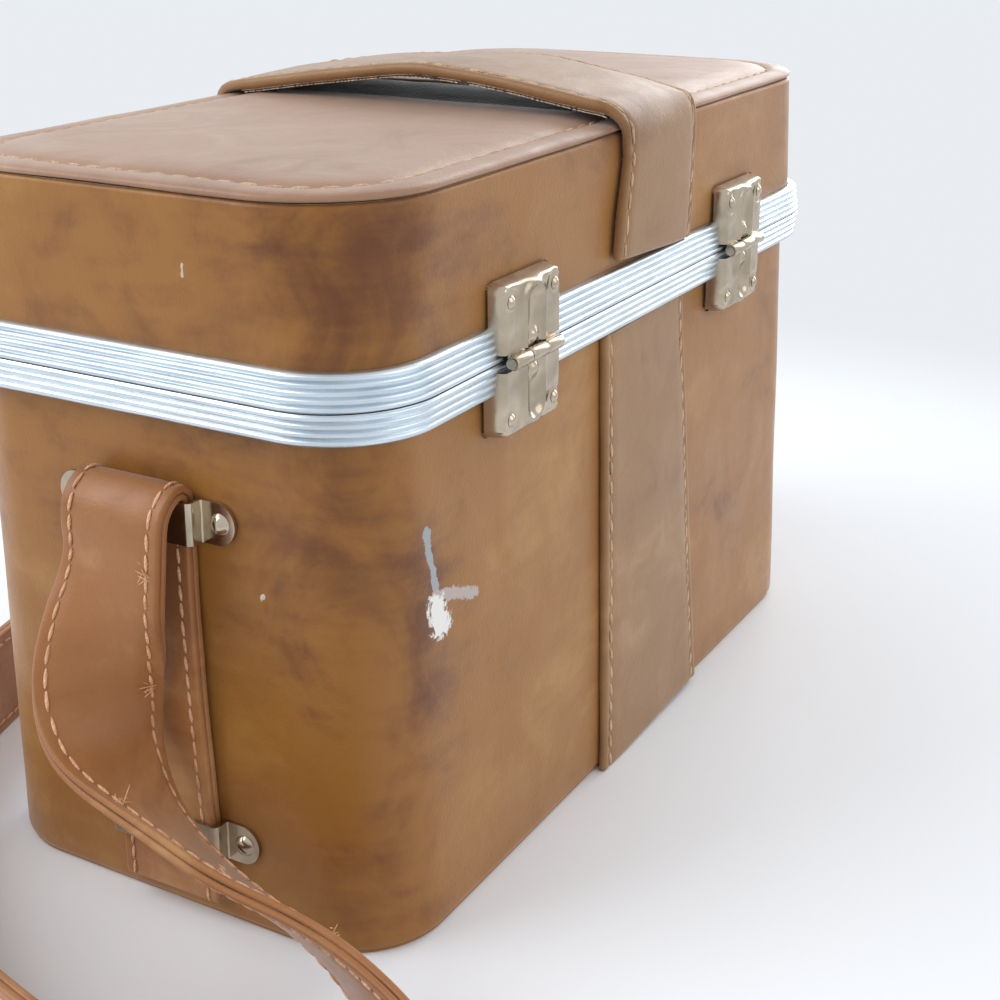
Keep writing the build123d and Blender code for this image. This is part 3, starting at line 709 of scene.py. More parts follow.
# %% [markdown]
# ### The ribbed bands
# Each band is one aluminium extrusion bent round the case. Its face has round ribs with narrow
# grooves, it covers the edge of the board, and a leg goes down inside. The base's band has a
# tongue that closes into the lid's. One profile each says all of that.

# %% Edge bands
band_proud = 6.5 * mm


def ribs(bottom, height, count, wide_end, taper=1.4 * mm, depth=0.75 * mm, steps=10):
    """Points up a ribbed face: narrow grooves between round ribs."""
    points = []
    for step in range(count * steps + 1):
        share = step / steps
        level = bottom + height * share / count
        groove = (0.5 + 0.5 * math.cos(2 * math.pi * share)) ** 3
        lean = taper * abs(level - wide_end) / height
        points.append((band_proud - lean - depth * groove, level))
    return points


base_band_top = 160.55 * mm
base_band_foot = 151.55 * mm
base_band_profile = (
    [(-5.9 * mm, 150.55 * mm), (-4.9 * mm, 150.55 * mm), (-4.9 * mm, 159.05 * mm)]
    + [(0.385 * mm, 159.05 * mm), (0.385 * mm, base_band_foot)]
    + ribs(base_band_foot, base_band_top - base_band_foot, 4, base_band_top)
    + [(-4.9 * mm, base_band_top), (-4.9 * mm, 164.55 * mm), (-5.9 * mm, 164.55 * mm)]
)
base_band = sweep("base_band_extrusion", base_band_profile, spacing=12 * mm, corner_steps=18)
smooth(base_band, 45)
finish_piece(base_band, aluminium, "base", "band_aluminium", "base_band")

lid_band_foot = 160.85 * mm
lid_band_top = 170.65 * mm
lid_band_profile = (
    [(-3.9 * mm, lid_band_foot)]
    + ribs(lid_band_foot, lid_band_top - lid_band_foot, 5, lid_band_foot)
    + [(2.2 * mm, lid_band_top), (2.2 * mm, 162.35 * mm), (-2.9 * mm, 162.35 * mm)]
    + [(-2.9 * mm, 170.85 * mm), (-3.9 * mm, 170.85 * mm)]
)
lid_band = sweep("lid_band_extrusion", lid_band_profile, spacing=12 * mm, corner_steps=18)
smooth(lid_band, 45)
finish_piece(lid_band, aluminium, "lid", "band_aluminium", "lid_band")

# %% [markdown]
# ### The padded top
# The top is a stuffed panel sewn all round. Its rim is a soft slope, a row of stitches pulls it
# in a little way from the edge, and the middle swells. The rim is swept like the walls. The
# middle is one face that is cut into a grid and then raised, highest in the middle.

# %% Top panel
panel_edge = lid_grow(lid_top) + 0.1 * mm
rim_shape = (
    (-12.0, 0.15),
    (-2.0, 0.10),
    (-0.7, 0.25),
    (-0.1, 0.70),
    (0.1, 1.20),
    (-0.1, 1.75),
    (-0.8, 2.20),
    (-2.0, 2.50),
    (-4.0, 2.72),
    (-6.2, 2.74),
    (-7.6, 2.50),
    (-8.5, 2.10),
    (-9.4, 2.45),
    (-10.6, 2.95),
    (-12.5, 3.35),
    (-15.0, 3.62),
    (-17.5, 3.75),
)
rim_points = [(panel_edge + out * mm, lid_top + up * mm) for out, up in rim_shape]
window_half_width = 20 * mm
window_half_length = 54 * mm
window_place = -10 * mm
middle_level = lid_top + 3.7 * mm

top_pad = sweep("top_panel_padded", rim_points, closed=False, spacing=6 * mm, corner_steps=12)
round_corners(top_pad)
edit(top_pad)
bpy.ops.mesh.select_mode(type="EDGE")
mesh = bmesh.from_edit_mesh(top_pad.data)
for rim_edge in mesh.edges:
    rim_edge.select_set(rim_edge.is_boundary and rim_edge.verts[0].co.z > middle_level)
bmesh.update_edit_mesh(top_pad.data)
bpy.ops.mesh.edge_face_add()
bpy.ops.mesh.select_mode(type="FACE")


def middle_of_top(middle, normal):
    """The flat middle of the top panel."""
    return middle.z > middle_level and normal.z > 0.9999


cuts = [(x * 8 * mm, "x") for x in range(-16, 17)] + [(y * 8 * mm, "y") for y in range(-6, 7)]
cuts += [(window_place + side * window_half_width, "x") for side in (-1, 1)]
for place, axis in cuts:
    pick(top_pad, "FACE", middle_of_top)
    corner = (place, 0, 0) if axis == "x" else (0, place, 0)
    across = (1, 0, 0) if axis == "x" else (0, 1, 0)
    bpy.ops.mesh.bisect(plane_co=corner, plane_no=across)
bpy.ops.object.mode_set(mode="OBJECT")
for vertex in top_pad.data.vertices:
    if vertex.co.z > middle_level:
        share = (1 - (vertex.co.x / half_long) ** 2) * (1 - (vertex.co.y / half_deep) ** 2)
        vertex.co.z += 0.7 * mm * max(0, share)
outwards(top_pad)
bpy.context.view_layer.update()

# %% [markdown]
# Under the handle the leather of the top is cut away, and a grey cloth shows. The middle's faces
# inside that window are inset a little and moved down, which leaves a soft edge round the hole.

# %% Cut the window and sew the top
edit(top_pad)
for side in (-1, 1):
    pick(top_pad, "FACE", lambda middle, normal: middle.z > middle_level)
    bpy.ops.mesh.bisect(plane_co=(0, side * window_half_length, 0), plane_no=(0, 1, 0))
pick(
    top_pad,
    "FACE",
    lambda middle, normal: middle.z > middle_level
    and abs(middle.x - window_place) < window_half_width
    and abs(middle.y) < window_half_length,
)
bpy.ops.mesh.inset(thickness=0.7 * mm, depth=-0.5 * mm, use_even_offset=True)
bpy.ops.mesh.inset(thickness=0.3 * mm, depth=-0.9 * mm, use_even_offset=True)
bpy.ops.object.mode_set(mode="OBJECT")
uneven(top_pad, 0.3 * mm, 35 * mm, 9.0)
smooth(top_pad, 50)
# The top's leather carries painted reflection, the haze of the bright room
finish_piece(top_pad, top_leather_painted_haze, "lid", "case_leather", "top_panel")

# %% [markdown]
# ## Sewn pieces, made flat and then laid
# A belt is cut, folded and sewn flat, and only then bent over the case. The same order works
# here: each belt is a flat blank with its stitches beside it, its length along X, and then both
# are laid along rows. A row is a point on the belt's middle line and the direction across it.

# %% Laying flat pieces along rows
def smooth_rows(stations, spacing):
    """Rows on a smooth curve through stations of (x, y, z, across x, y, z), in millimetres."""
    gaps = [math.dist(a[:3], b[:3]) for a, b in zip(stations, stations[1:])]
    slopes = [[(b - a) / gaps[0] for a, b in zip(stations[0], stations[1])]]
    for index in range(1, len(gaps)):
        before, after = gaps[index - 1], gaps[index]
        slopes.append(
            [
                ((b - a) / before * after + (c - b) / after * before) / (before + after)
                for a, b, c in zip(stations[index - 1], stations[index], stations[index + 1])
            ]
        )
    slopes.append([(b - a) / gaps[-1] for a, b in zip(stations[-2], stations[-1])])
    points = []
    for index, gap in enumerate(gaps):
        count = max(1, round(gap / spacing))
        for step in range(count):
            t = step / count
            first = [2 * t**3 - 3 * t**2 + 1, (t**3 - 2 * t**2 + t) * gap]
            last = [3 * t**2 - 2 * t**3, (t**3 - t**2) * gap]
            ends = zip(stations[index], slopes[index], stations[index + 1], slopes[index + 1])
            points.append(
                [a * first[0] + s * first[1] + b * last[0] + r * last[1] for a, s, b, r in ends]
            )
    points.append(stations[-1])
    rows = []
    for index, point in enumerate(points):
        ahead = points[min(index + 1, len(points) - 1)]
        behind = points[max(index - 1, 0)]
        run = (Vector(ahead[:3]) - Vector(behind[:3])).normalized()
        across = Vector(point[3:])
        width = across.length
        across = (across - run * across.dot(run)).normalized() * width
        rows.append((Vector(point[:3]) * mm, across, run))
    return rows


def run_length(rows):
    """How long the middle line of the rows is."""
    return sum((b[0] - a[0]).length for a, b in zip(rows, rows[1:]))


def lay(piece, rows, off=0.0):
    """Lay a flat piece along rows: X follows the run, Y goes across and Z stands off."""
    stations = [0.0]
    for before, after in zip(rows, rows[1:]):
        stations.append(stations[-1] + (after[0] - before[0]).length)
    for vertex in piece.data.vertices:
        along, sideways, up = vertex.co
        index = min(max(bisect_right(stations, along) - 1, 0), len(rows) - 2)
        share = (along - stations[index]) / (stations[index + 1] - stations[index])
        middle = rows[index][0].lerp(rows[index + 1][0], share)
        across = rows[index][1].lerp(rows[index + 1][1], share)
        run = rows[index][2].lerp(rows[index + 1][2], share)
        lift = run.cross(across).normalized()
        vertex.co = middle + across * sideways + lift * (up + off)
    piece.data.update()
    return piece


def blank(name, length, width, thickness, step, edge, cuts, edge_steps=4):
    """A flat strip with rounded edges. The cuts are lines along it, measured in from each edge."""
    clear_selection()
    bpy.ops.mesh.primitive_plane_add(size=1)
    strip = bpy.context.object
    strip.name = name
    strip.scale = (length, width, 1)
    strip.location = (length / 2, 0, thickness / 2)
    settle(strip)
    edit(strip)
    for inset in cuts:
        for side in (-1, 1):
            bpy.ops.mesh.select_all(action="SELECT")
            line = (0, side * (width / 2 - inset), 0)
            bpy.ops.mesh.bisect(plane_co=line, plane_no=(0, 1, 0))
    longest = length
    while longest > 1.5 * step:
        parts = min(40, math.ceil(longest / step))
        pick(strip, "EDGE", lambda middle, run: abs(run.x) > 0.9 * longest)
        bpy.ops.mesh.subdivide(number_cuts=parts - 1)
        longest /= parts
    bpy.ops.object.mode_set(mode="OBJECT")
    apply_modifier(strip, "SOLIDIFY", thickness=thickness, offset=-1.0)
    soften(strip, edge, edge_steps, 60)
    return strip


def press_lines(strip, half_width, inset, depth, top):
    """Pull the lines of the seams into the top of a strip."""
    for vertex in strip.data.vertices:
        if vertex.co.z * top > 0:
            away = (half_width - abs(vertex.co.y) - inset) / mm
            vertex.co.z -= top * depth * math.exp(-(away**2) / 0.7)


def swell(strip, half_width, height):
    """Raise the middle of a strip a little."""
    for vertex in strip.data.vertices:
        if vertex.co.z > 0:
            share = min(1.0, abs(vertex.co.y) / half_width)
            vertex.co.z += height * (1 - share**2)


def stitches(name, length, pitch, sideways, up, long=4.6 * mm, thick=1.0 * mm, slant=6.0):
    """A row of hand stitches along X. One stitch is modelled and an array repeats it."""
    clear_selection()
    bpy.ops.mesh.primitive_uv_sphere_add(
        segments=8, ring_count=6, radius=0.5, rotation=(0, math.radians(90), 0)
    )
    row = bpy.context.object
    row.name = name
    row.scale = (thick * 0.85, thick, long)
    settle(row)
    row.rotation_euler.z = math.radians(slant)
    count = max(1, round(length / pitch))
    step = length / count
    row.location = (step / 2, sideways, up)
    settle(row)
    each = len(row.data.vertices)
    apply_modifier(
        row,
        "ARRAY",
        count=count,
        use_relative_offset=False,
        use_constant_offset=True,
        constant_offset_displace=(step, 0, 0),
    )
    for index, vertex in enumerate(row.data.vertices):
        number = index // each
        vertex.co.y += 0.3 * mm * noise.noise((number * 1.37, sideways * 90, 2.0))
        vertex.co.x += 0.5 * mm * noise.noise((number * 1.71, sideways * 90, 7.0))
    activate(row)
    bpy.ops.object.shade_smooth()
    return row


# %% [markdown]
# ### The seam round the top
# The seam follows the edge of the panel a finger's breadth in. Its rows are points on straight
# sides and quarter circles, with the outward direction across.

# %% Stitches round the top
def round_rows(grow, level, steps=10):
    """Closed rows round the case at a level, grown out from the wall line."""
    rows = []
    top_radius = corner_radius + lid_rounding
    straight = Vector((half_long - top_radius, half_deep - top_radius, 0))
    for corner, (x_side, y_side) in enumerate(((1, 1), (-1, 1), (-1, -1), (1, -1))):
        centre = Vector((x_side * straight.x, y_side * straight.y, 0))
        for step in range(steps + 1):
            angle = math.radians(90 * corner + 90 * step / steps)
            out = Vector((math.cos(angle), math.sin(angle), 0))
            rows.append((centre + out * (top_radius + grow) + Vector((0, 0, level)), out))
    rows.append(rows[0])
    return [(middle, -out, Vector((-out.y, out.x, 0))) for middle, out in rows]


seam_rows = round_rows(panel_edge - 8.5 * mm, lid_top + 2.25 * mm)
top_seam = stitches(
    "top_panel_stitches", run_length(seam_rows), 7.2 * mm, 0, 0, long=5.2 * mm, thick=1.25 * mm
)
lay(top_seam, seam_rows)
finish_piece(top_seam, tan_thread, "lid", "case_leather")

# %% [markdown]
# ### The handle
# One padded belt comes up the back of the lid, stands up over the top as the handle, and goes
# down the front. Its edges are folded, so they are round and thick, and a seam is pressed in
# beside each edge. The line it follows was measured from the photograph: steep shoulders, and a
# long flat arch that is highest just behind the middle.

# %% The handle belt
belt_width = 57 * mm
belt_thickness = 3.4 * mm
seam_inset = 3.2 * mm
belt_cuts = [inset * mm for inset in (1.8, 2.6, 3.2, 3.9, 4.8, 7.5, 11, 16, 22)]
handle_stations = (
    (-4.5, 75.9, 172.0, 0.93, 0, 0),
    (-5.1, 76.3, 183.0, 0.915, 0, 0),
    (-6.8, 76.2, 195.0, 0.88, 0, 0),
    (-7.6, 76.1, 205.0, 0.86, 0, 0),
    (-6.6, 75.9, 210.5, 0.87, 0, 0),
    (-6.0, 75.0, 214.4, 0.89, 0, 0.01),
    (-5.6, 71.3, 217.0, 0.94, 0, 0.035),
    (-5.2, 64.0, 218.75, 0.985, 0, 0.03),
    (-5.0, 51.0, 221.0, 1.0, 0, 0.024),
    (-5.0, 35.0, 223.5, 1.0, 0, 0.02),
    (-5.0, 25.5, 224.6, 1.0, 0, 0.018),
    (-5.0, 16.0, 225.1, 1.0, 0, 0.026),
    (-5.0, 7.0, 225.25, 1.0, 0, 0.042),
    (-5.0, -3.0, 224.8, 1.0, 0, 0.036),
    (-5.0, -13.5, 223.9, 1.0, 0, 0.022),
    (-5.0, -24.0, 222.9, 1.0, 0, 0.007),
    (-5.0, -34.4, 221.75, 1.0, 0, -0.002),
    (-5.0, -45.0, 220.35, 1.0, 0, -0.009),
    (-5.2, -57.0, 218.6, 0.985, 0, -0.015),
    (-5.6, -67.0, 216.9, 0.94, 0, -0.01),
    (-6.0, -73.0, 214.9, 0.89, 0, 0),
    (-6.6, -75.9, 211.0, 0.87, 0, 0),
    (-6.8, -76.1, 205.0, 0.88, 0, 0),
    (-6.0, -76.2, 195.0, 0.90, 0, 0),
    (-5.4, -76.2, 184.0, 0.92, 0, 0),
    (-5.0, -75.9, 172.0, 0.93, 0, 0),
)
handle_rows = smooth_rows(handle_stations, 2.0)
handle_length = run_length(handle_rows)
handle = blank(
    "handle_belt_leather", handle_length, belt_width, belt_thickness, 2.4 * mm, 1.5 * mm, belt_cuts
)
half_belt = belt_width / 2
swell(handle, half_belt, 0.5 * mm)
press_lines(handle, half_belt, seam_inset, 0.5 * mm, 1)
lay(handle, handle_rows)
uneven(handle, 0.35 * mm, 22 * mm, 3.0)
smooth(handle, 50)
finish_piece(handle, belt_leather, "lid", "belt_leather", "handle_belt")


def belt_seam(name, rows, length, thickness):
    """Both seams of a belt, made flat, joined and laid."""
    seams = [
        stitches(
            name,
            length,
            6.4 * mm,
            side * (half_belt - seam_inset),
            thickness / 2 - 0.15 * mm,
            5.0 * mm,
            1.15 * mm,
            side * 7.0,
        )
        for side in (-1, 1)
    ]
    return lay(join(name, seams), rows)


handle_seam = belt_seam("handle_stitches", handle_rows, handle_length, belt_thickness)
finish_piece(handle_seam, tan_thread, "lid", "belt_leather")
print("handle length", round(handle_length, 4))

# %% [markdown]
# ### Under the handle
# The handle's lining is a second ply whose cut edge has frayed, so short cream threads stand out
# all along it. Below it, in the window of the top, lies a strip of grey cloth with a few creases.

# %% The handle's lining and the cloth strip
lining_ply = 0.9 * mm
lining_width = 53 * mm
lining_rows = [row for row in handle_rows if row[0].z > 217.4 * mm]
lining_drop = -(belt_thickness / 2 + 0.1 * mm + lining_ply / 2)
lining_length = run_length(lining_rows)
lining_cuts = [inset * mm for inset in (0.8, 2, 6, 13, 20)]
lining = blank(
    "handle_lining_ply", lining_length, lining_width, lining_ply, 2 * mm, 0.25 * mm, lining_cuts
)
for vertex in lining.data.vertices:
    if abs(vertex.co.y) > lining_width / 2 - mm:
        vertex.co.y += 0.9 * mm * noise.noise((vertex.co.x * 400, vertex.co.y * 20, 1.0))
lay(lining, lining_rows, lining_drop)
smooth(lining, 50)
# The lining's near-black leather is painted shade under the handle
finish_piece(lining, painted_shade_ply, "lid", "strap_leather", "handle_lining")
frays = [
    stitches(
        "fray",
        lining_length,
        1.5 * mm,
        side * (lining_width / 2 - 0.2 * mm),
        layer * 0.35 * mm,
        3.4 * mm,
        0.55 * mm,
        side * layer * 24.0,
    )
    for side in (-1, 1)
    for layer in (-1, 1)
]
frayed_edge = lay(join("handle_lining_frayed_edge", frays), lining_rows, lining_drop)
finish_piece(frayed_edge, cream_thread, "lid", "cloth")

cloth_width = 2 * window_half_width - 2.6 * mm
cloth_length = 2 * window_half_length - 2.6 * mm
cloth_cuts = [inset * mm for inset in (2.5, 5, 7.5, 10, 12.5, 15, 17.5)]
cloth = blank(
    "under_handle_cloth", cloth_length, cloth_width, 0.5 * mm, 2.4 * mm, 0.2 * mm, cloth_cuts
)
cloth_level = lid_top + 3.6 * mm
cloth_across, cloth_run = Vector((1, 0, 0)), Vector((0, -1, 0))
cloth_rows = [
    (Vector((window_place, way * cloth_length / 2, cloth_level)), cloth_across, cloth_run)
    for way in (1, -1)
]
lay(cloth, cloth_rows)
for vertex in cloth.data.vertices:
    vertex.co.z += 0.35 * mm * noise.noise(vertex.co * 95)
smooth(cloth, 60)
finish_piece(cloth, grey_cloth, "lid", "cloth", "under_handle_strip")

# %% [markdown]
# ### The belts on the base
# The belt goes on down both long walls and gets wider to the foot. It is laid on the leaning
# wall in the same way, and the rows' across direction grows, so the seams spread with it.

# %% Belt strips on the base
strip_thickness = 2.9 * mm
foot_spread = 76.5 / 57
top_spread = 1.005
strip_foot = 0.9
strip_step = 10.03
strip_top = 151.4
strip_gap = 0.15


def strip_rows(side):
    """Rows up one long wall. They widen to the foot and follow the wall's lean."""
    rows = []
    for level in range(16):
        z = strip_foot + level * strip_step
        share = z / strip_top
        width = foot_spread + (top_spread - foot_spread) * share**0.85
        out = (half_deep + base_grow(z * mm) + strip_thickness / 2) / mm + strip_gap
        rows.append((-9.0 + 4.9 * share, side * out, z, side * width, 0, 0))
    return smooth_rows(rows, 5.0)


for name, side in (("back", 1), ("front", -1)):
    rows = strip_rows(side)
    long = run_length(rows)
    strip = blank(
        name + "_belt_leather", long, belt_width, strip_thickness, 3 * mm, 1.3 * mm, belt_cuts
    )
    swell(strip, half_belt, 0.35 * mm)
    press_lines(strip, half_belt, seam_inset, 0.45 * mm, 1)
    lay(strip, rows)
    uneven(strip, 0.35 * mm, 24 * mm, 6.0 * side)
    smooth(strip, 50)
    finish_piece(strip, belt_leather, "base", "belt_leather", name + "_belt")
    seam = belt_seam(name + "_belt_stitches", rows, long - 2 * mm, strip_thickness)
    finish_piece(seam, tan_thread, "base", "belt_leather")

# %% [markdown]
# ### The shoulder strap
# The strap goes up through both loops of an end wall, hangs down, twists a quarter turn and runs
# round the case on its edge, to the same loops at the other end. It is two plies of leather sewn
# together, so there are two flat blanks, a thin line between them, and seams on both faces.

# %% The strap's rows
end_stations = (
    (157.30, 3.2, 7.5, 0, 1, 0),
    (156.70, 3.0, 27.6, 0, 1, 0),
    (156.60, 2.4, 48.0, 0, 1, 0),
    (156.30, 1.5, 76.0, 0, 1, 0),
    (155.10, 0.5, 102.0, 0, 1, 0),
    (153.85, 0.0, 120.0, 0, 1, 0),
    (153.60, 0.0, 130.0, 0, 1, 0),
    (154.05, 0.0, 131.7, 0, 1, 0),
    (155.22, 0.0, 132.9, 0, 1, 0),
    (156.90, 0.0, 133.35, 0, 1, 0),
    (158.55, 0.0, 132.9, 0, 1, 0),
    (160.60, 0.0, 131.65, 0, 1, 0),
    (162.60, 0.0, 130.0, 0, 1, 0),
    (164.30, 0.0, 127.0, 0.01, 1, 0),
    (165.20, 0.0, 122.0, 0.02, 1, -0.01),
    (165.60, -0.1, 115.6, 0.05, 1, -0.02),
    (168.30, -1.6, 100.2, -0.07, 0.99, -0.14),
    (172.70, -3.4, 84.9, -0.52, 0.84, -0.15),
    (176.30, -2.4, 69.8, -0.89, 0.43, -0.11),
    (180.00, 6.9, 58.0, -0.95, 0.03, -0.32),
    (181.50, 20.4, 50.0, -0.81, -0.21, -0.55),
    (183.00, 34.3, 42.3, -0.77, -0.24, -0.59),
    (182.60, 49.4, 36.8, -0.72, -0.24, -0.65),
    (181.90, 64.7, 32.5, -0.65, -0.21, -0.73),
    (183.10, 80.0, 27.8, -0.52, -0.18, -0.84),
    (187.80, 94.3, 22.6, -0.35, -0.15, -0.92),
    (194.60, 108.3, 18.9, -0.17, -0.11, -0.98),
    (203.00, 121.0, 17.9, 0, 0, -1),
)
floor_stations = (
    (214, 130),
    (228, 131),
    (240, 121),
    (246, 103),
    (245, 66),
    (238, 20),
    (218, -34),
    (190, -74),
    (150, -104),
    (90, -126),
    (0, -142),
    (-90, -152),
    (-150, -160),
    (-185, -157),
    (-203, -144),
)
half_turned = [(-x, -y, z, -a, -b, c) for x, y, z, a, b, c in reversed(end_stations)]
strap_stations = (
    list(end_stations) + [(x, y, 17.8, 0, 0, -1) for x, y in floor_stations] + half_turned
)
strap_stations = [(*row[:3], *Vector(row[3:]).normalized()) for row in strap_stations]
strap_rows = smooth_rows(strap_stations, 1.5)
easing_drop = 1.6 * mm
rows_at_loops = 90


def relaxed(rows, reach, loops_from):
    """Even out the twist of the hanging strap. The rows at the loops stay as they are."""
    eased = []
    for index, row in enumerate(rows):
        below = int((loops_from - row[0].z) / easing_drop)
        from_end = min(index, len(rows) - 1 - index) - rows_at_loops
        span = max(0, min(reach, below, from_end))
        near = rows[index - span : index + span + 1]
        place = sum((row[0] for row in near), Vector()) / len(near)
        side = sum((row[1] for row in near), Vector()) / len(near)
        eased.append((place, side))
    whole = []
    for index, (middle, side) in enumerate(eased):
        ahead = eased[min(index + 1, len(eased) - 1)][0]
        behind = eased[max(index - 1, 0)][0]
        run = (ahead - behind).normalized()
        whole.append((middle, (side - run * side.dot(run)).normalized(), run))
    return whole


strap_rows = relaxed(strap_rows, 12, 112 * mm)
strap_length = run_length(strap_rows)
print("strap length", round(strap_length, 3))

# %% The strap's plies and seams
strap_width = 34.6 * mm
half_strap = strap_width / 2
strap_seam_inset = 3.5 * mm
ply = 2.1 * mm
strap_cuts = [inset * mm for inset in (2.6, 3.5, 4.4, 8)]
strap_plies = []
for way in (1, -1):
    strip = blank("ply", strap_length, strap_width, ply, 2.4 * mm, 0.8 * mm, strap_cuts, 3)
    press_lines(strip, half_strap, strap_seam_inset, 0.35 * mm, way)
    lay(strip, strap_rows, way * (ply / 2 + 0.04 * mm))
    uneven(strip, 0.18 * mm, 16 * mm, 2.0)
    strap_plies.append(strip)
strap = join("shoulder_strap_leather", strap_plies)
smooth(strap, 50)
finish_piece(
    strap, strap_leather, "base", "strap_leather", "strap_outer_ply", "strap_inner_ply"
)
strap_seams = [
    stitches(
        "seam",
        strap_length,
        5.2 * mm,
        side * (half_strap - strap_seam_inset),
        face * ply,
        4.7 * mm,
        1.05 * mm,
        side * face * 5.0,
    )
    for side in (-1, 1)
    for face in (-1, 1)
]
strap_seam = lay(join("shoulder_strap_stitches", strap_seams), strap_rows)
finish_piece(strap_seam, peach_thread, "base", "strap_leather")

# %% [markdown]
# ### Loose threads
# The strap's seams have worn through in a few places, and short ends of thread stand out there.
# Each end is a thin long bead, and each tuft sits on the nearest place of a seam.

# %% Loose threads
tuft_places = (
    (170.6, 12.7, 112.1),
    (176.5, 21.6, 71.5),
    (178.5, 23.3, 64.9),
    (184.0, 52.8, 46.0),
    (185.0, 86.1, 41.2),
)
hairs_in_tuft = 9
hair_thick = 0.3 * mm
seam_spots = [
    middle
    + across * side * (half_strap - strap_seam_inset)
    + run.cross(across).normalized() * face * (ply + 0.3 * mm)
    for middle, across, run in strap_rows[::4]
    for side in (-1, 1)
    for face in (-1, 1)
]
hairs = []
for number, place in enumerate(tuft_places):
    seam_spot = min(seam_spots, key=lambda spot: (spot - Vector(place) * mm).length)
    for hair in range(hairs_in_tuft):
        turn = Vector(
            [noise.noise((number * 3.1 + hair * 1.7, axis * 5.3, 0.5)) for axis in range(3)]
        )
        clear_selection()
        bpy.ops.mesh.primitive_uv_sphere_add(segments=6, ring_count=5, radius=0.5)
        thread = bpy.context.object
        thread.scale = (hair_thick, hair_thick, (3 + 6 * abs(turn.x)) * mm)
        thread.rotation_euler = (turn.x * 2.5 + 0.5, turn.y * 2.5, turn.z * 5)
        thread.location = seam_spot + turn * 3 * mm
        hairs.append(settle(thread))
loose_threads = join("loose_threads", hairs)
smooth(loose_threads, 60)
finish_piece(loose_threads, peach_thread, "base", "strap_leather")

# %% [markdown]
# ## The hinges
# Each leaf is pressed from one sheet of nickel-plated steel. The press rounds its edges down to
# the leather, raises a long loop in the middle with a bead at its foot, and dimples the sheet
# round each rivet. A grid is moved into that relief point by point and then given its thickness.

# %% Sizes and relief of a hinge leaf
leaf_width = 33 * mm
leaf_start = 2.5 * mm
leaf_reach = 21.9 * mm
leaf_face = half_deep + 8.1 * mm
leaf_metal = 0.9 * mm
leaf_corner = 3.0 * mm
skirt = 2.0 * mm
loop_radius = 5.0 * mm
loop_top = 14.5 * mm
bead_along = 4.8 * mm
dimple = 3.2 * mm
rivet_across = 12.2 * mm
rivet_along = 16.5 * mm
axis_out = 80.4 * mm
knuckle_radius = 2.1 * mm
knuckle_long = 8.6 * mm
knuckle_step = 8.9 * mm


def bell(away, width):
    """A soft bump: one at its middle and nothing a few widths away."""
    return math.exp(-((away / width) ** 2))


def pressed_height(across, along):
    """How far the press lifts the leaf at a place, from its flat face."""
    loop = math.hypot(across, max(0.0, along - loop_top))
    lift = 1.15 * mm * bell(loop - loop_radius, 1.25 * mm)
    lift -= 0.75 * mm * bell(loop, 3.4 * mm)
    lift += 1.9 * mm * bell(math.hypot(across, along - bead_along), 2.2 * mm)
    for side in (-1, 1):
        rivet = math.hypot(across - side * rivet_across, along - rivet_along)
        lift -= 0.45 * mm * bell(rivet - dimple, 1.1 * mm)
        lift += 0.25 * mm * bell(along - rivet_along + 6 * mm, 3 * mm) * bell(
            across - side * rivet_across, 1.6 * mm
        )
    return lift


print("leaf relief at the bead", round(pressed_height(0.0, bead_along), 5))


# %% One pressed leaf
def pressed_leaf(name, middle, way, grow):
    """One leaf on the back wall, up or down from the hinge's axis."""
    clear_selection()
    bpy.ops.mesh.primitive_grid_add(x_subdivisions=48, y_subdivisions=30, size=2)
    sheet = bpy.context.object
    sheet.name = name
    wall_out = half_deep + grow(parting + way * leaf_reach) + 0.1 * mm + leaf_metal
    for vertex in sheet.data.vertices:
        share, rise = vertex.co.x, (vertex.co.y + 1) / 2
        across = leaf_width / 2 * (1.5 * share - 0.5 * share**3)
        along = leaf_start + (leaf_reach - leaf_start) * (1 - (1 - rise) ** 1.8)
        to_side = leaf_width / 2 - abs(across)
        to_end = leaf_reach - along
        edge = min(to_side, to_end)
        if to_side < leaf_corner and to_end < leaf_corner:
            reach = math.hypot(leaf_corner - to_side, leaf_corner - to_end)
            edge = leaf_corner - reach
            if edge < 0:
                pull = leaf_corner / reach
                inner = leaf_width / 2 - leaf_corner
                across = math.copysign(inner + (leaf_corner - to_side) * pull, across)
                along = leaf_reach - leaf_corner + (leaf_corner - to_end) * pull
                edge = 0.0
        round_off = 1 - (1 - min(1.0, edge / skirt)) ** 3
        height = leaf_face + pressed_height(across, along) * round_off
        out = wall_out + (height - wall_out) * round_off
        vertex.co = (middle - way * across, out, parting + way * along)
    apply_modifier(sheet, "SOLIDIFY", thickness=leaf_metal, offset=-1.0)
    return sheet


# %% [markdown]
# A knuckle is the end of the sheet, curled round the pin. It is a cylinder whose ends are bent a
# little out of true, joined to its leaf by a short tongue, with all edges softened.

# %% Knuckles
def knuckle(place, way):
    """A curled knuckle with the tongue that joins it to its leaf."""
    clear_selection()
    bpy.ops.mesh.primitive_cylinder_add(
        vertices=24,
        radius=knuckle_radius,
        depth=knuckle_long,
        location=(place, axis_out, parting),
        rotation=(0, math.radians(90), 0),
    )
    curl = settle(bpy.context.object)
    for vertex in curl.data.vertices:
        turn = math.atan2(vertex.co.z - parting, vertex.co.y - axis_out)
        vertex.co.x += 0.25 * mm * math.sin(turn + place * 300)
    clear_selection()
    bpy.ops.mesh.primitive_cube_add(size=1)
    tongue = bpy.context.object
    tongue.scale = (knuckle_long, leaf_metal, leaf_start + 0.6 * mm)
    tongue.location = (
        place,
        leaf_face - leaf_metal / 2,
        parting + way * (leaf_start + 0.6 * mm) / 2,
    )
    settle(tongue)
    curled = join("knuckle", [curl, tongue])
    soften(curled, 0.3 * mm, 3, 50)
    return curled


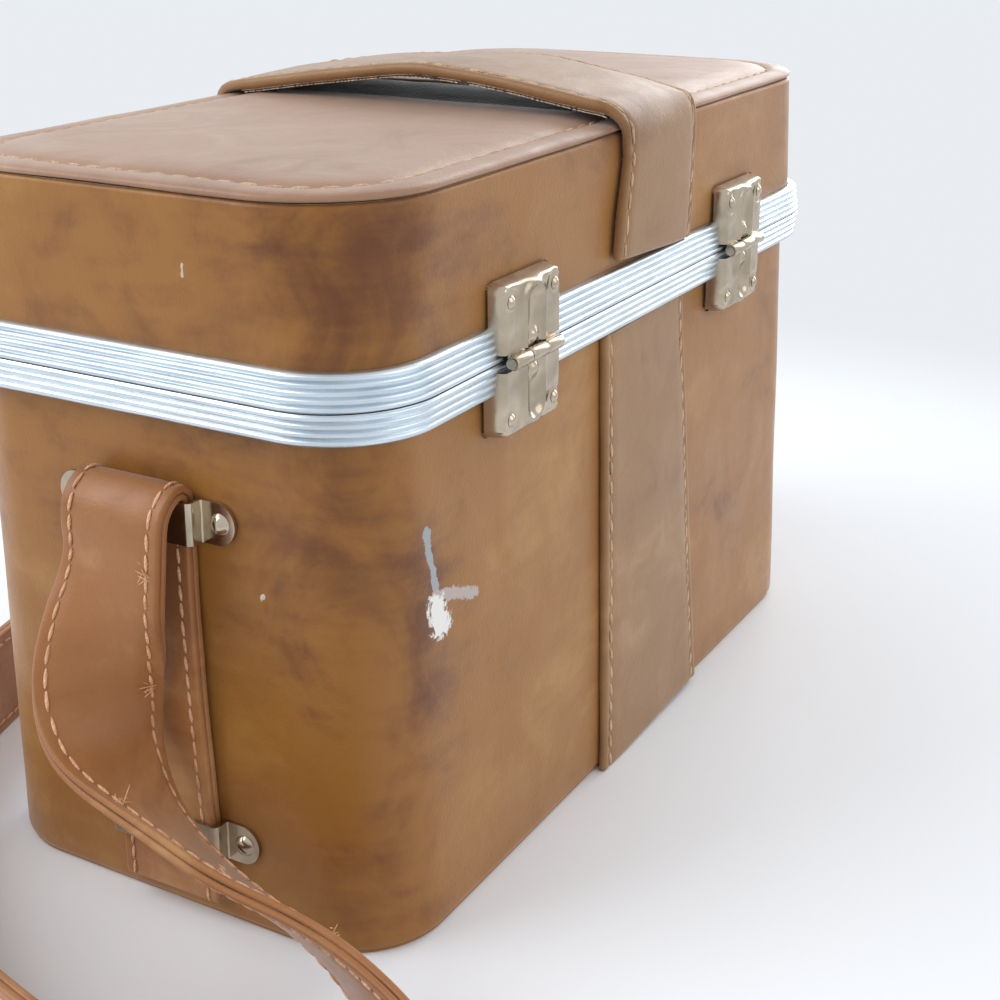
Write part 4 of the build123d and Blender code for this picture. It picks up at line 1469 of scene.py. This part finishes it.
# %% Put the hinges together
for side_name in ("right", "left"):
    low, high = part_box("hinge_leaf_lid_" + side_name)
    middle = (low[0] + high[0]) / 2
    for body, way, grow, places in (
        ("lid", 1, lid_grow, (-knuckle_step, knuckle_step)),
        ("base", -1, base_grow, (0.0,)),
    ):
        plate = pressed_leaf(f"hinge_plate_{body}_{side_name}", middle, way, grow)
        curls = [knuckle(middle + place, way) for place in places]
        plate = join(plate.name, [plate] + curls)
        smooth(plate, 40)
        finish_piece(plate, nickel, body, "nickel_plate", f"hinge_leaf_{body}_{side_name}")

# %% [markdown]
# ## Inside the case
# The walls are lined with brown cloth, glued to the board. It is swept like the walls, and the
# floor or the ceiling is filled in, so each lining is one closed sheet.

# %% Linings
lining_back = 4.3 * mm
lining_front = 4.9 * mm
filled_from = -12 * mm


def lining_walls(name, foot, top, grow, ply_level, cloth_level):
    """Lining on the walls and on the floor or ceiling, one closed sheet."""
    outer = climb(foot, top, grow, lining_back, 6)
    inner = climb(top, foot, grow, lining_front, 6)
    if ply_level < foot + mm:
        points = [(filled_from, ply_level)] + outer + inner[:-1]
        points += [(grow(foot) - lining_front, cloth_level), (filled_from, cloth_level)]
    else:
        points = [(filled_from, cloth_level), (grow(top) - lining_front, cloth_level)]
        points += inner[1:] + outer + [(filled_from, ply_level)]
    walls = sweep(name, points, closed=False, spacing=20 * mm, corner_steps=8)
    round_corners(walls)
    edit(walls)
    bpy.ops.mesh.select_all(action="SELECT")
    bpy.ops.mesh.fill_holes(sides=0)
    bpy.ops.object.mode_set(mode="OBJECT")
    outwards(walls)
    smooth(walls, 40)
    return walls


base_lining = lining_walls(
    "base_cloth_lining",
    foot=5.2 * mm,
    top=149.7 * mm,
    grow=base_grow,
    ply_level=5.2 * mm,
    cloth_level=5.8 * mm,
)
finish_piece(base_lining, lining_cloth, "base", "cloth", "base_lining")
lid_lining = lining_walls(
    "lid_cloth_lining",
    foot=171.7 * mm,
    top=207.8 * mm,
    grow=lid_grow,
    ply_level=207.8 * mm,
    cloth_level=207.2 * mm,
)
finish_piece(lid_lining, lining_cloth, "lid", "cloth", "lid_lining")

# %% [markdown]
# ### Pads and divider
# A foam pad covered in plush lies on the floor, another one is under the lid, and a padded
# divider stands across the base. Foam this thin keeps its shape, so each one is modelled with a
# crown on its face and soft edges, and needs no simulation.

# %% Pads
def flat_pad(name, half_x, half_y, radius, seat, face, crown):
    """A foam pad with rounded corners, crowned on its face."""
    clear_selection()
    bpy.ops.mesh.primitive_plane_add(size=2)
    piece = bpy.context.object
    piece.name = name
    piece.scale = (half_x, half_y, 1)
    piece.location.z = seat
    settle(piece)
    edit(piece)
    bpy.ops.mesh.select_all(action="SELECT")
    bpy.ops.mesh.bevel(affect="VERTICES", offset=radius, segments=8)
    bpy.ops.mesh.select_all(action="SELECT")
    bpy.ops.mesh.extrude_region_move(TRANSFORM_OT_translate={"value": (0, 0, face - seat)})
    bpy.ops.mesh.inset(thickness=4 * mm)
    for step in range(-9, 10):
        cuts = ((Vector((1, 0, 0)), step * 15 * mm), (Vector((0, 1, 0)), step * 7.5 * mm))
        for run, place in cuts:
            pick(piece, "FACE", lambda middle, normal: abs(middle.z - face) < 0.01 * mm)
            bpy.ops.mesh.bisect(plane_co=run * place, plane_no=run)
    bpy.ops.object.mode_set(mode="OBJECT")
    for vertex in piece.data.vertices:
        if abs(vertex.co.z - face) < 0.01 * mm:
            share = (1 - (vertex.co.x / half_x) ** 4) * (1 - (vertex.co.y / half_y) ** 4)
            vertex.co.z += crown * max(0.0, share) + 0.25 * mm * noise.noise(vertex.co * 30)
    outwards(piece)
    soften(piece, 1.2 * mm, 3, 50)
    smooth(piece, 50)
    return piece


floor_pad = flat_pad(
    "base_floor_pad",
    half_x=149.0 * mm,
    half_y=70.3 * mm,
    radius=23 * mm,
    seat=5.95 * mm,
    face=10.9 * mm,
    crown=0.9 * mm,
)
finish_piece(floor_pad, plush, "base", "padding", "base_pad")
lid_pad = flat_pad(
    "lid_foam_pad",
    half_x=146.4 * mm,
    half_y=67.9 * mm,
    radius=28 * mm,
    seat=207.05 * mm,
    face=203.0 * mm,
    crown=-0.9 * mm,
)
finish_piece(lid_pad, plush, "lid", "padding", "lid_foam")

# %% Divider
divider_low, divider_high = (Vector(corner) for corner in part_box("divider"))
divider_size = divider_high - divider_low
clear_selection()
bpy.ops.mesh.primitive_cube_add(size=1, location=(divider_low + divider_high) / 2)
divider = bpy.context.object
divider.name = "padded_divider"
divider.scale = (divider_size.x - 1.6 * mm, divider_size.y, divider_size.z)
settle(divider)
edit(divider)
bpy.ops.mesh.select_all(action="SELECT")
bpy.ops.mesh.subdivide(number_cuts=15)
bpy.ops.object.mode_set(mode="OBJECT")
for vertex in divider.data.vertices:
    rise = (vertex.co.z - divider_low.z) / divider_size.z
    across = vertex.co.y / (divider_size.y / 2)
    vertex.co.y = across * (70.4 - 4.2 * rise) * mm
    crown = (1 - across**4) * (1 - (2 * rise - 1) ** 4)
    side = 1 if vertex.co.x > (divider_low.x + divider_high.x) / 2 else -1
    vertex.co.x += side * 0.8 * mm * crown
soften(divider, 2.6 * mm, 4, 60)
smooth(divider, 50)
finish_piece(divider, plush, "base", "padding", "divider")

# %% [markdown]
# ## Carried-over fittings
# Pins, rivets, screws, strap loops and latches have their right shape in the frame already, so
# they only get their finish.

# %% Finishes for the frame's own nodes
node_finishes = {
    "nickel_plate": nickel,
    "board": board,
    "cloth": lining_cloth,
    "padding": plush,
    "case_leather": case_leather,
    "belt_leather": belt_leather,
    "strap_leather": strap_leather,
    "band_aluminium": aluminium,
}
for subpart in frame["record"]["subparts"]:
    carried = frame["nodes"][subpart["node"]]
    carried.data.materials.clear()
    carried.data.materials.append(node_finishes[subpart["material_slot"]])

# %% [markdown]
# ## Floor and light
# The floor is one wide pale sheet. Near the case it is lit and keeps the shadow. Farther out it
# shows the room's own pale white to the camera and in reflections, so there is no horizon. The
# light is an even room with three soft lamps: a window from the camera's left, the room's side,
# and a far window that puts the haze on the leather's slanting faces.

# %% Floor
clear_selection()
bpy.ops.mesh.primitive_plane_add(size=1, location=(-0.6, -0.4, 0))
floor = bpy.context.object
floor.name = "floor"
floor_size = 60
floor.scale = (floor_size, floor_size, 1)
settle(floor)
floor_finish = new_finish("pale floor", Roughness=0.85, Specular_IOR_Level=0.1)
floor_white = (0.90, 0.92, 0.945, 1)
room_white = (0.93, 0.96, 1.0, 1)
room_strength = 0.88
shader = floor_finish.node_tree.nodes["Principled BSDF"]
shader.inputs["Base Color"].default_value = floor_white
away = node(
    floor_finish,
    "VectorMath",
    {0: node(floor_finish, "TexCoord").outputs["Object"], 1: (0.05, 0, 0)},
    operation="DISTANCE",
).outputs["Value"]
fade_from, fade_to = 0.30, 0.62
far = ranged(floor_finish, away, fade_from, fade_to)
share = sums(floor_finish, "MULTIPLY", background_rays(floor_finish), far)
plain = node(floor_finish, "Emission", {"Color": room_white, "Strength": room_strength})
blend = node(
    floor_finish,
    "MixShader",
    {0: share, 1: shader.outputs["BSDF"], 2: plain.outputs["Emission"]},
)
surface = floor_finish.node_tree.nodes["Material Output"].inputs["Surface"]
floor_finish.node_tree.links.new(blend.outputs["Shader"], surface)
floor.data.materials.append(floor_finish)
print("floor", tuple(floor.dimensions))

# %% Light
world = bpy.data.worlds.new("room")
bpy.context.scene.world = world
world.use_nodes = True
sky = world.node_tree.nodes["Background"]
sky.inputs["Color"].default_value = room_white
lighting = ranged(world, background_rays(world), 0.0, 1.0, 0.70, room_strength)
world.node_tree.links.new(lighting, sky.inputs["Strength"])


def soft_lamp(name, place, aim, size, power, colour):
    """A square soft lamp that looks at a point."""
    data = bpy.data.lights.new(name, "AREA")
    data.shape = "SQUARE"
    data.size = size
    data.energy = power
    data.color = colour
    lamp = bpy.data.objects.new(name, data)
    bpy.context.scene.collection.objects.link(lamp)
    lamp.location = place
    lamp.rotation_mode = "QUATERNION"
    lamp.rotation_quaternion = (Vector(aim) - Vector(place)).to_track_quat("-Z", "Y")
    return lamp


case_middle = (0.02, 0.0, 0.11)
soft_lamp("window", (0.75, -0.75, 0.95), case_middle, 0.9, 9.0, (0.95, 0.97, 1.0))
soft_lamp("room side", (-0.2, 1.2, 0.7), case_middle, 0.9, 3.0, (1.0, 0.98, 0.95))
soft_lamp("far window", (-1.6, 0.1, 0.8), case_middle, 1.4, 18.0, (0.96, 0.98, 1.0))
bpy.context.scene.view_settings.view_transform = "Standard"
